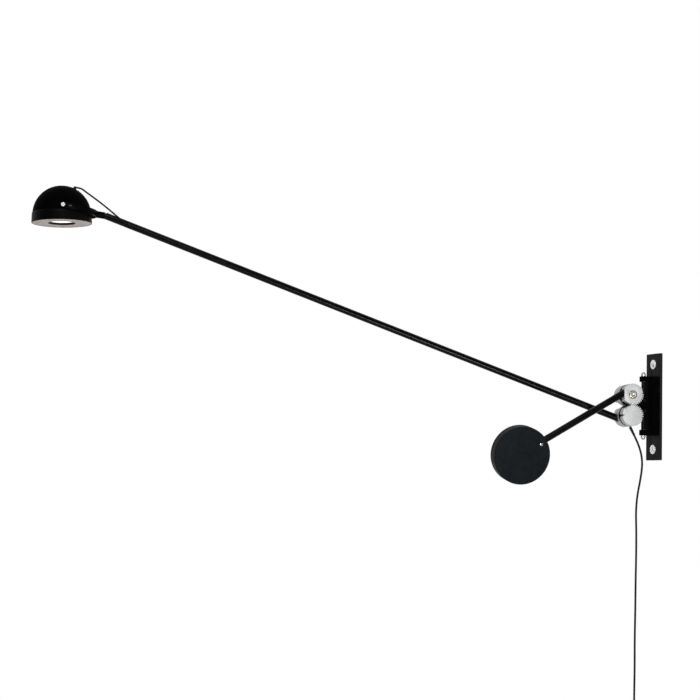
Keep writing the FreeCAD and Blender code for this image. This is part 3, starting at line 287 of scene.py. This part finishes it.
soft_light("softbox_high_left", (-2.6, -2.4, 2.4), lamp_middle, (1.8, 1.2), 58.0)
soft_light("softbox_low", (-1.6, -4.9, -0.8), (-0.7, 0.2, 0.1), (1.0, 0.35), 145.0)
soft_light("fill_right", (1.4, -3.2, 0.8), lamp_middle, (1.0, 1.6), 14.0)

# ---------------------------------------------------------------- wall plate
# A flat steel bar with dark grey powder coat, held on the wall by two cross-head screws over
# large zinc-plated washers. The plate's edges are broken, and its coat has a fine orange skin.
plate_edge_round = 0.0005
screw_height = 0.1255
same_point = 1e-6
flat_enough = math.radians(0.2)
sharp_edge = math.radians(30.0)


def only(piece):
    """Selects this piece alone and makes it the active one."""
    bpy.ops.object.select_all(action="DESELECT")
    piece.select_set(True)
    bpy.context.view_layer.objects.active = piece


def edged(name, round_edge, finish, smooth=28.0):
    """A solid's shape with its sharp edges broken by a small round, as after deburring."""
    node = frame["nodes"][name]
    piece = bpy.data.objects.new(name + "_edged", node.data.copy())
    bpy.context.collection.objects.link(piece)
    only(piece)
    bpy.ops.mesh.customdata_custom_splitnormals_clear()
    bpy.ops.object.mode_set(mode="EDIT")
    bpy.ops.mesh.select_all(action="SELECT")
    bpy.ops.mesh.remove_doubles(threshold=same_point)
    bpy.ops.mesh.dissolve_limited(angle_limit=flat_enough)
    bpy.ops.object.mode_set(mode="OBJECT")
    bevel = piece.modifiers.new("edges", "BEVEL")
    bevel.width = round_edge
    bevel.segments = 2
    bevel.limit_method = "ANGLE"
    bevel.angle_limit = sharp_edge
    bpy.ops.object.modifier_apply(modifier=bevel.name)
    bpy.ops.object.shade_smooth_by_angle(angle=math.radians(smooth))
    finish.onto(piece)
    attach(piece, node["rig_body"])
    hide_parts(name)
    return piece


def powder_coat(name, colour, pale, rough, shine, peel, depth):
    """Baked paint: two close shades in soft blotches, specks, and its orange skin."""
    finish = Finish(name, colour, rough, 0.0, shine)
    where = finish.place()
    blotch = finish.noise(where, 42.0, 4.0)
    speck = finish.noise(where, 2600.0, 1.0).between(0.62, 0.74)
    share = blotch.between(0.38, 0.68) * 0.8 + speck * 0.2
    finish.set("Base Color", finish.mix(share, colour, pale))
    skin = finish.noise(where, peel, 3.0)
    finish.set("Roughness", rough + (skin + blotch - 1.0) * 0.14)
    finish.bump(skin + speck * 0.3, depth)
    return finish


def zinc_plate(name, colour, rough):
    """Plated steel: cloudy shades, fine barrel scratches, a soft gloss, and painted shade that
    darkens its sockets and gaps.
    """
    finish = Finish(name, colour, rough, 1.0)
    where = finish.place()
    cloud = finish.noise(where, 260.0, 4.0)
    scratch = finish.noise(finish.vector("MULTIPLY", where, (1.0, 9.0, 1.6)), 900.0, 3.0)
    # painted shade: the open_air mask turns the plating near-black in the piece's own sockets and
    # gaps
    open_air = finish.open_air(0.003).between(0.35, 0.9)
    shade = open_air * (0.75 + cloud.between(0.35, 0.72) * 0.25)
    finish.set("Base Color", finish.mix(shade, grey(0.02), colour))
    finish.set("Roughness", rough + (scratch - 0.5) * 0.3 + cloud * 0.08)
    finish.bump(scratch, 0.000008)
    return finish


plate_coat = powder_coat("grey_powder_coat", (0.0118, 0.0121, 0.0120), (0.0172, 0.0175, 0.0172),
                         0.5, 0.035, 1100.0, 0.000012)
zinc = zinc_plate("bright_zinc", (0.86, 0.86, 0.85), 0.34)
dull_zinc = zinc_plate("dull_zinc", (0.60, 0.60, 0.59), 0.38)
edged("wall_plate", plate_edge_round, plate_coat)


def faced_zinc():
    """Zinc with the rings that turning leaves on a washer's face; one washer is above the other."""
    finish = Finish("faced_zinc", (0.8, 0.8, 0.79), 0.36, 0.9)
    where = finish.place()
    parts = [finish.add("ShaderNodeSeparateXYZ", {}, {0: where}, axis) for axis in ("Y", "Z")]
    up = abs(parts[1]) - screw_height
    radius = (parts[0] * parts[0] + up * up) ** 0.5
    rings = finish.noise(finish.add("ShaderNodeCombineXYZ", {}, {0: radius}), 2400.0, 3.0)
    cloud = finish.noise(where, 300.0, 3.0)
    dull, bright = (0.66, 0.66, 0.65), (0.88, 0.88, 0.87)
    finish.set("Base Color", finish.mix(cloud.between(0.3, 0.7), dull, bright))
    finish.set("Roughness", 0.3 + rings * 0.24)
    finish.bump(rings, 0.00001)
    return finish


washer_zinc = faced_zinc()
edged("wall_washers", 0.0003, washer_zinc)
edged("wall_screws", 0.00015, washer_zinc, 24.0)
zinc.onto("bracket_screws")

# ---------------------------------------------------------------- bracket
# A wedge of cast steel with an ear at each end that holds the swivel pin. It is screwed on from
# behind the plate and wears a deep black powder coat, a little coarser than the plate's.
bracket_edge_round = 0.0007
bracket_coat = powder_coat("black_powder_coat", grey(0.0004), grey(0.0012), 0.5, 0.008,
                           800.0, 0.000016)
edged("bracket_body", bracket_edge_round, bracket_coat)

# ---------------------------------------------------------------- swivel pin
# A shouldered steel pin, blackened, that turns with the hinge in two flanged bushes of bearing
# plastic. Washers and domed nuts, in duller zinc, close it above and below the ears.


def blackened_steel():
    """Oiled black oxide: faint turning rings along the pin and brownish clouds."""
    finish = Finish("blackened_steel", grey(0.002), 0.38, 0.0, 0.08)
    where = finish.place()
    rings = finish.noise(finish.vector("MULTIPLY", where, (0.05, 0.05, 1.0)), 3200.0, 2.0)
    cloud = finish.noise(where, 140.0, 4.0)
    black, brownish = (0.0010, 0.0010, 0.0011), (0.0036, 0.0033, 0.0030)
    finish.set("Base Color", finish.mix(cloud.between(0.35, 0.7), black, brownish))
    finish.set("Roughness", 0.28 + rings * 0.2)
    finish.bump(rings, 0.000006)
    return finish


def moulded(name, colour, rough, shine, grain=2200.0, depth=0.00001):
    """Moulded plastic: a fine eroded skin and faint flow clouds."""
    finish = Finish(name, colour, rough, 0.0, shine)
    where = finish.place()
    skin = finish.noise(where, grain, 2.0)
    flow = finish.noise(finish.vector("MULTIPLY", where, (1.0, 1.0, 0.4)), 55.0, 3.0)
    pale = tuple(min(1.0, 1.35 * part + 0.001) for part in colour)
    finish.set("Base Color", finish.mix(flow.between(0.35, 0.75), colour, pale))
    finish.set("Roughness", rough + (skin - 0.5) * 0.16)
    finish.bump(skin, depth)
    return finish


black_oxide = blackened_steel()
bearing_plastic = moulded("bearing_plastic", grey(0.05), 0.45, 0.4)
black_oxide.onto("swivel_pin")
bearing_plastic.onto("pin_bushes", "axle_bushes")
edged("pin_nuts", 0.0003, dull_zinc, 24.0)
edged("pin_washers", 0.0002, dull_zinc)

# ---------------------------------------------------------------- hub and carrier
# A steel block clamped round the pin with a set screw, and a lasercut plate screwed to its front
# that carries both axles. Both are black; the plate's edge shows as a thin dark line.
edged("swivel_hub", 0.0004, bracket_coat)
edged("carrier_plate", 0.0003, bracket_coat)
black_oxide.onto("carrier_screws")
zinc.onto("hub_grub_screw")

# ---------------------------------------------------------------- geared drums
# Four short cylinders of clear anodised aluminium, fine turned and then blasted matt, with a
# stretch of gear teeth cut in each rim. Two share an axle, one before and one behind the plate.
drum_edge_round = 0.00025
hinge_line = Vector(joints["light_arm_lift"]["axis"])
# the third colour is painted shade for the drums' own gaps and sockets
drum_pale, drum_grey, drum_painted_shade = (0.47, 0.475, 0.475), (0.405, 0.41, 0.412), grey(0.012)


def turned_aluminium(name, axle_joint):
    """Blasted aluminium: ghost rings of the lathe, speckle, soft clouds, and painted shade in the
    gaps.
    """
    finish = Finish(name, drum_pale, 0.5, 0.35, 0.5)
    where = finish.place()
    offset = finish.vector("SUBTRACT", where, tuple(joints[axle_joint]["pos_m"]))
    depth = finish.vector("DOT_PRODUCT", offset, tuple(hinge_line), "Value")
    across = finish.vector("CROSS_PRODUCT", offset, tuple(hinge_line))
    radius = finish.vector("LENGTH", across, (0.0, 0.0, 0.0), "Value")
    lathe = finish.noise(finish.add("ShaderNodeCombineXYZ", {}, {0: radius, 1: depth}), 1500.0, 4.0)
    blast = finish.noise(where, 5200.0, 1.0)
    cloud = finish.noise(where, 75.0, 4.0)
    shade = cloud.between(0.3, 0.7) * 0.5 + lathe.between(0.35, 0.65) * 0.3 + blast * 0.2
    metal = finish.mix(shade, drum_grey, drum_pale)
    # painted shade: the drums turn dark grey where their own gaps and sockets are, by the open_air
    # mask
    unshaded = finish.open_air(0.005).between(0.45, 0.95)
    finish.set("Base Color", finish.mix(unshaded, drum_painted_shade, metal))
    finish.set("Roughness", 0.44 + lathe * 0.14 + blast * 0.06)
    finish.bump(lathe * 0.6 + blast * 0.4, 0.000008)
    return finish


lower_aluminium = turned_aluminium("turned_aluminium_lower", "light_arm_lift")
upper_aluminium = turned_aluminium("turned_aluminium_upper", "weight_arm_lift")
for drum in ("lower_front_drum", "lower_rear_drum"):
    edged(drum, drum_edge_round, lower_aluminium)
for drum in ("upper_front_drum", "upper_rear_drum"):
    edged(drum, drum_edge_round, upper_aluminium)

# ---------------------------------------------------------------- axles and their screws
# Ground steel axles. Each is drawn up by a broad socket screw, plated yellowish, whose head lies
# in a counterbore; the upper one shows in the front drum's face.


def ringed_plate(name, axle_joint):
    """Yellowish zinc on a turned head: rings round a socket that is darkened with painted shade."""
    finish = Finish(name, (0.6, 0.56, 0.47), 0.3, 0.9)
    where = finish.place()
    offset = finish.vector("SUBTRACT", where, tuple(joints[axle_joint]["pos_m"]))
    across = finish.vector("CROSS_PRODUCT", offset, tuple(hinge_line))
    radius = finish.vector("LENGTH", across, (0.0, 0.0, 0.0), "Value")
    rings = finish.noise(finish.add("ShaderNodeCombineXYZ", {}, {0: radius}), 1300.0, 2.0)
    plating = finish.mix(rings.between(0.35, 0.65), (0.28, 0.255, 0.21), (0.64, 0.60, 0.51))
    # painted shade: the head turns near-black in its own socket, by the open_air mask
    unshaded = finish.open_air(0.004).between(0.4, 0.9)
    finish.set("Base Color", finish.mix(unshaded, (0.015, 0.014, 0.012), plating))
    finish.set("Roughness", 0.24 + rings * 0.2)
    finish.bump(rings, 0.00004)
    return finish


edged("upper_axle_screw", 0.0003, ringed_plate("yellow_zinc_upper", "weight_arm_lift"))
edged("lower_axle_screw", 0.0003, ringed_plate("yellow_zinc_lower", "light_arm_lift"))
zinc.onto("lower_axle", "upper_axle", "light_arm_grub_screws", "weight_arm_grub_screws")

# ---------------------------------------------------------------- light arm
# A long drawn steel tube, 20 mm through, in satin black. It is clamped in the lower rear drum and
# has a slanting slot near its tip, where the lamp's own cable goes into the bore.
tube_satin = powder_coat("satin_black", grey(0.0005), grey(0.0012), 0.26, 0.11, 1500.0, 0.000004)
tube_satin.onto("light_arm_tube", "fork_spigot")

# ---------------------------------------------------------------- counterweight
# The short arm is the same tube with a thicker wall. Its disc is two steel halves, painted dark
# grey, drawn together on the tube by three screws from behind; a bright set screw is in front.
disc_edge_round = 0.0006
tube_satin.onto("weight_arm_tube")


def disc_paint():
    """Satin dark grey on cast steel: the casting's soft mottle shows through the paint."""
    finish = Finish("mottled_grey_paint", (0.0057, 0.0074, 0.0088), 0.46, 0.0, 0.035)
    where = finish.place()
    mottle = finish.noise(where, 70.0, 5.0)
    broad = finish.noise(where, 16.0, 2.0)
    pit = finish.noise(where, 900.0, 3.0)
    shade = mottle.between(0.3, 0.7) * 0.6 + broad.between(0.3, 0.7) * 0.4
    finish.set("Base Color", finish.mix(shade, (0.0050, 0.0068, 0.0082), (0.0084, 0.0105, 0.0122)))
    finish.set("Roughness", 0.40 + mottle * 0.14)
    finish.bump(mottle * 0.8 + pit * 0.2, 0.00003)
    return finish


disc_grey = disc_paint()
edged("weight_front_half", disc_edge_round, disc_grey)
edged("weight_rear_half", disc_edge_round, disc_grey)
edged("weight_set_screw", 0.0003, zinc)
zinc.onto("weight_clamp_screws")

# ---------------------------------------------------------------- fork
# Stem and half ring bent and welded from steel, in a duller black than the arm, with worn keys
# let into both sides. A bent plug inside joins it to the tube.
fork_coat = powder_coat("fork_black", grey(0.0004), grey(0.0010), 0.42, 0.025, 1500.0, 0.000004)
edged("fork", 0.0004, fork_coat)
edged("fork_keys", 0.0002, zinc_plate("worn_zinc", grey(0.06), 0.5))

# ---------------------------------------------------------------- lamp head
# A spun aluminium dome in matt black sits on a turned ring. A taupe plate with a round mouth
# closes it, and an opal lens lies deeper in; the light board and its heat sink are inside.
dome_matt = powder_coat("matt_black_dome", grey(0.0004), grey(0.0009), 0.60, 0.008,
                        1300.0, 0.000008)
dome_matt.onto("dome_shell", "pivot_blocks")


def ring_paint():
    """Semi-gloss near-black, in clouds of a greenish and a brownish tinge."""
    finish = Finish("ring_black", grey(0.0012), 0.42, 0.0, 0.035)
    where = finish.place()
    cloud = finish.noise(where, 60.0, 3.0)
    skin = finish.noise(where, 1500.0, 2.0)
    greenish, brownish = (0.0006, 0.0012, 0.0009), (0.0018, 0.0013, 0.0012)
    finish.set("Base Color", finish.mix(cloud.between(0.35, 0.65), greenish, brownish))
    finish.set("Roughness", 0.36 + skin * 0.12)
    finish.bump(skin, 0.000006)
    return finish


def taupe_paint():
    """Matt taupe: a textured skin with pale and dark specks. The mouth's wall is left black."""
    finish = Finish("taupe_paint", (0.55, 0.48, 0.45), 0.75, 0.0, 0.25)
    where = finish.place()
    speck = finish.noise(where, 1800.0, 3.0)
    cloud = finish.noise(where, 50.0, 3.0)
    share = speck.between(0.35, 0.7) * 0.5 + cloud.between(0.3, 0.7) * 0.5
    facing = finish.add("ShaderNodeTexCoord", {}, {}, "Normal")
    down = abs(finish.add("ShaderNodeSeparateXYZ", {}, {0: facing}, "Z")).between(0.45, 0.75)
    taupe = finish.mix(share, (0.49, 0.43, 0.40), (0.61, 0.55, 0.52))
    finish.set("Base Color", finish.mix(down, grey(0.003), taupe))
    finish.bump(speck, 0.000015)
    return finish


def lit_opal():
    """The lit opal lens: nearly even, in faint clouds, with a satin face."""
    finish = Finish("lit_opal", (0.9, 0.9, 0.88), 0.4, 0.0, 0.4)
    where = finish.place()
    cloud = finish.noise(where, 90.0, 2.0)
    finish.set("Emission Strength", 1.0)
    finish.set("Emission Color", finish.mix(cloud, (0.95, 0.94, 0.90), (1.0, 0.99, 0.96)))
    finish.set("Roughness", 0.34 + cloud * 0.12)
    return finish


black_plastic = moulded("black_plastic", grey(0.003), 0.5, 0.12)
white_plastic = moulded("white_plastic", (0.72, 0.72, 0.70), 0.5, 0.4)
bare_aluminium = zinc_plate("bare_aluminium", (0.75, 0.75, 0.76), 0.4)
edged("head_ring", 0.0003, ring_paint())
edged("face_plate", 0.0003, taupe_paint())
lit_opal().onto("diffuser")
white_plastic.onto("light_chamber", "led_board")
bare_aluminium.onto("heat_sink")
black_plastic.onto("recess_tube", "dome_grommet")
edged("pivot_spacers", 0.0003, black_plastic)
edged("pivot_screws", 0.0003, zinc)

# ---------------------------------------------------------------- lamp cable
# The thin cable that leaves an elbow on the dome level with the floor, arches, and runs nearly
# straight down to the slanting slot in the arm, where it goes into the bore.
cable_dia = 0.005
pivot = Vector(joints["head_tilt"]["pos_m"])
outwards = Vector((0, 0, 1)).cross(hinge_line)
light_rise = math.radians(19.7)
fork_rise = math.radians(7.0)
head_tilt = math.radians(1.3)
fork_length = 0.1197
dome_radius = 0.083
dome_middle_in_head = (-0.0052, -0.0163)
grommet_angle = math.radians(24.6)
grommet_rise = 0.0035
grommet_stub = 0.004
cable_first_run = 0.0126
cable_route = ((0.0620, 0.0008, 0.0512), (0.0805, 0.0022, 0.0384), (0.1120, 0.0050, 0.0158))
slot_middle = 0.059
slot_lean = math.radians(18.435)
lead_start, lead_side, lead_drop = 0.112, 0.0039, 0.0042
enters_before, inside_after, settled_after = 0.026, 0.013, 0.020
enters_side, inside_side = 0.0099, 0.0040


def from_pivot(inwards, side, up):
    """A point by its distance from the pivot line towards the wall, to the near side, and up."""
    return pivot - outwards * inwards - hinge_line * side + Vector((0, 0, up))


def in_head(inwards, up, side=0.0):
    """The same for a point of the head, which hangs tilted a little."""
    turned_in = inwards * math.cos(head_tilt) - up * math.sin(head_tilt)
    turned_up = inwards * math.sin(head_tilt) + up * math.cos(head_tilt)
    return from_pivot(turned_in, side, turned_up)


def beside_tube(from_tip, side, up):
    """A point by the light arm's outer end: back from its tip, to the near side, and up."""
    tip_in, tip_up = fork_length * math.cos(fork_rise), -fork_length * math.sin(fork_rise)
    inwards = tip_in + from_tip * math.cos(light_rise) + up * math.sin(light_rise)
    height = tip_up - from_tip * math.sin(light_rise) + up * math.cos(light_rise)
    return from_pivot(inwards, side, height)


def elbow_middle():
    """The middle of the elbow, just above the dome."""
    middle_in, middle_up = dome_middle_in_head
    reach = dome_radius + grommet_rise
    return in_head(middle_in + math.sin(grommet_angle) * reach,
                   middle_up + math.cos(grommet_angle) * reach)


def beside_slot(from_tip, side):
    """A point on the slot's slanting middle line, or on its line beyond the slot."""
    return beside_tube(from_tip, side, (slot_middle - from_tip) * math.tan(slot_lean))


cable_start = elbow_middle() - outwards * grommet_stub
enters, inside = slot_middle - enters_before, slot_middle + inside_after
cable_points = [cable_start, cable_start - outwards * cable_first_run]
cable_points += [from_pivot(*point) for point in cable_route]
cable_points.append(beside_slot(enters, enters_side))
cable_points.append(beside_slot(inside, inside_side))
cable_points.append(beside_tube(inside + settled_after, lead_side, -lead_drop))
cable_points.append(beside_tube(lead_start, lead_side, -lead_drop))


def line_of(piece):
    """The points that a cord's line runs through."""
    bare = piece.copy()
    bare.data = piece.data.copy()
    bare.data.bevel_depth = 0.0
    bpy.context.collection.objects.link(bare)
    bpy.context.view_layer.update()
    drawn = bare.evaluated_get(bpy.context.evaluated_depsgraph_get())
    mesh = bpy.data.meshes.new_from_object(drawn)
    points = [vertex.co.copy() for vertex in mesh.vertices]
    bpy.data.objects.remove(bare)
    return points


def smooth_line(name, points, radius=0.0):
    """A cord's own line: a smooth open spline that the points steer."""
    curve = bpy.data.curves.new(name, "CURVE")
    curve.dimensions = "3D"
    spline = curve.splines.new("NURBS")
    spline.points.add(len(points) - 1)
    for place, point in zip(spline.points, points):
        place.co = (*point, 1.0)
    spline.order_u = 3
    spline.use_endpoint_u = True
    spline.resolution_u = 8
    curve.bevel_depth = radius
    curve.bevel_resolution = 5
    curve.use_fill_caps = True
    piece = bpy.data.objects.new(name, curve)
    bpy.context.collection.objects.link(piece)
    return piece


def cord_skin():
    """Black cord jacket: a soft sheen, a fine pressed skin, and dull patches from handling."""
    finish = Finish("cord_jacket", (0.007, 0.007, 0.0072), 0.42, 0.0, 0.12)
    where = finish.place()
    patch = finish.noise(where, 60.0, 3.0)
    skin = finish.noise(where, 2400.0, 2.0)
    dark, worn = (0.0040, 0.0040, 0.0042), (0.0070, 0.0070, 0.0072)
    finish.set("Base Color", finish.mix(patch.between(0.4, 0.7), dark, worn))
    finish.set("Roughness", 0.34 + patch * 0.16)
    finish.bump(skin, 0.000005)
    return finish


cord_jacket = cord_skin()
cord_jacket.onto("arm_lead")
cable = smooth_line("lamp_cable", cable_points, cable_dia / 2)
cable_line = line_of(cable)
only(cable)
bpy.ops.object.convert(target="MESH")
cable = bpy.context.object
bpy.ops.object.shade_smooth()
cord_jacket.onto(cable)
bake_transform(cable)
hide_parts("head_cable")

# ---------------------------------------------------------------- power cord
# Round black plastic cord with a smooth skin. It leaves the relief under the hinge, swings in
# towards the wall and hangs; what the view doesn't show is wound and tied just below it.
cord_dia = 0.006
pin_x = joints["swivel_turn"]["pos_m"][0]
cord_side = -0.014
gland_place = (0.0445, -0.0603)
gland_length = 0.014
cord_route = ((0.0246, -0.098), (0.0126, -0.127), (0.0064, -0.156), (0.0066, -0.184),
              (0.0126, -0.222), (0.0206, -0.262), (0.0244, -0.310), (0.0226, -0.362),
              (0.0224, -0.430), (0.0236, -0.510), (0.0239, -0.592), (0.0252, -0.674),
              (0.0246, -0.756), (0.0256, -0.838))
cord_drop = -0.915
coil_radii = (0.041, 0.03775, 0.0345, 0.03125, 0.028, 0.02475, 0.028, 0.03125, 0.0345, 0.03775)
coil_climb = 5
coil_layer = 0.0065
coil_lead_in = 0.008
coil_tail = 0.050
points_per_half_turn = 12


def at_hinge(out, side, up):
    """A point by its distance out from the pin, to the far side of it, and up."""
    return Vector((pin_x, 0, 0)) + outwards * out + hinge_line * side + Vector((0, 0, up))


def coil_ends():
    """Where the coil's half turns begin and end, alternately on its near and its far side."""
    out, side, up = cord_route[-1][0], cord_side, cord_drop - coil_lead_in
    ends = [(out, side, up)]
    for k, radius in enumerate(coil_radii):
        side += 2 * radius if k % 2 == 0 else -2 * radius
        ends.append((out + (coil_layer if k >= coil_climb else 0.0), side, up))
    return [at_hinge(*end) for end in ends]


def coil_points():
    """Control points of the half turns, set out a little so that the line has the coil's radius."""
    points = []
    ends = coil_ends()
    step = math.pi / points_per_half_turn
    for k in range(len(coil_radii)):
        middle = (ends[k] + ends[k + 1]) / 2
        spoke = (ends[k] - ends[k + 1]) / 2 / math.cos(step / 2)
        bulge = Vector((0, 0, -spoke.length if k % 2 == 0 else spoke.length))
        for i in range(points_per_half_turn):
            a = (i + 0.5) * step
            points.append(middle + spoke * math.cos(a) + bulge * math.sin(a))
    return points


def gland_line():
    """The top of the relief and the way it points."""
    start = at_hinge(gland_place[0], cord_side, gland_place[1])
    return start, (at_hinge(cord_route[0][0], cord_side, cord_route[0][1]) - start).normalized()


gland_start, gland_way = gland_line()
cord_start = gland_start + gland_way * gland_length
cord_points = [cord_start] + [at_hinge(out, cord_side, up) for out, up in cord_route]
cord_points.append(at_hinge(cord_route[-1][0], cord_side, cord_drop))
cord_points += coil_points()
cord_points.append(coil_ends()[-1])
cord_points.append(coil_ends()[-1] - Vector((0, 0, coil_tail)))
power_cord = smooth_line("power_cord_line", cord_points, cord_dia / 2)
cord_jacket.onto(power_cord)
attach(power_cord, "swivel")
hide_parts("power_cord", "cord_coil")


def turned(name, profile, foot, way, finish, steps=64):
    """A round piece spun from its outline of (radius, height) points about the line from foot."""
    bpy.ops.object.select_all(action="DESELECT")
    bpy.ops.mesh.primitive_plane_add(size=0.002)
    piece = bpy.context.object
    piece.name = name
    bpy.ops.object.mode_set(mode="EDIT")
    bpy.ops.mesh.select_all(action="SELECT")
    bpy.ops.mesh.merge(type="CENTER")
    bpy.ops.transform.translate(value=(profile[0][0], 0.0, profile[0][1]))
    for (radius, height), (next_radius, next_height) in zip(profile, profile[1:]):
        step = (next_radius - radius, 0.0, next_height - height)
        bpy.ops.mesh.extrude_vertices_move(TRANSFORM_OT_translate={"value": step})
    bpy.ops.mesh.select_all(action="SELECT")
    bpy.ops.mesh.spin(steps=steps, angle=math.tau, center=(0.0, 0.0, 0.0), axis=(0.0, 0.0, 1.0))
    bpy.ops.mesh.select_all(action="SELECT")
    bpy.ops.mesh.remove_doubles(threshold=same_point)
    bpy.ops.mesh.normals_make_consistent(inside=False)
    bpy.ops.object.mode_set(mode="OBJECT")
    turn = way.to_track_quat("Z", "Y").to_matrix().to_4x4()
    piece.data.transform(Matrix.Translation(foot) @ turn)
    bpy.ops.object.shade_smooth_by_angle(angle=math.radians(35.0))
    finish.onto(piece)
    return piece


# the relief: a neck in the plate's edge, a collar, and a taper with eight ribs down the cord
relief_ribs = 8
relief_foot, relief_seat, relief_top, relief_end = -0.0050, 0.0008, 0.0070, 0.0290
neck_radius, step_radius, tip_radius = 0.0014, 0.0023, 0.0031
collar_radius, collar_edge = 0.0045, 0.0041
collar_start, collar_end, collar_slope = 0.0027, 0.0066, 0.0005
rib_radius_first, rib_radius_loss, groove_depth = 0.0042, 0.0008, 0.0005
groove_start, groove_end, rib_start, rib_gap = 0.0002, 0.0008, 0.0010, 0.0001
relief_outline = [(0.0, relief_foot), (neck_radius, relief_foot), (neck_radius, relief_seat),
                  (step_radius, relief_seat), (step_radius, collar_start),
                  (collar_edge, collar_start), (collar_radius, collar_start + collar_slope),
                  (collar_radius, collar_end), (rib_radius_first, relief_top)]
rib_pitch = (relief_end - relief_top) / relief_ribs
for rib in range(relief_ribs):
    rib_at = relief_top + rib * rib_pitch
    rib_radius = rib_radius_first - rib_radius_loss * rib / relief_ribs
    groove_radius = rib_radius - groove_depth
    relief_outline += [(groove_radius, rib_at + groove_start), (groove_radius, rib_at + groove_end),
                       (rib_radius, rib_at + rib_start), (rib_radius, rib_at + rib_pitch - rib_gap)]
relief_outline += [(tip_radius, relief_end), (0.0, relief_end)]
relief = turned("cord_relief", relief_outline, gland_start, gland_way, black_plastic)
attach(relief, "swivel")
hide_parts("cord_gland")


def strap_weave():
    """Woven strap: fine warp and weft, slightly dusty, with a fuzzy sheen."""
    finish = Finish("strap_weave", grey(0.012), 0.85, 0.0, 0.2)
    inputs = {"Vector": finish.place(), "Scale": 420.0}
    waves = [finish.add("ShaderNodeTexWave", {"bands_direction": way}, inputs)
             for way in ("Z", "DIAGONAL")]
    weave = waves[0] * 0.5 + waves[1] * 0.5
    finish.set("Base Color", finish.mix(weave, grey(0.008), grey(0.022)))
    finish.bump(weave, 0.00015)
    return finish


tie = edged("cord_tie", 0.0004, strap_weave())
plug = edged("plug_body", 0.0014, black_plastic)
pins = edged("plug_pins", 0.0002, zinc)
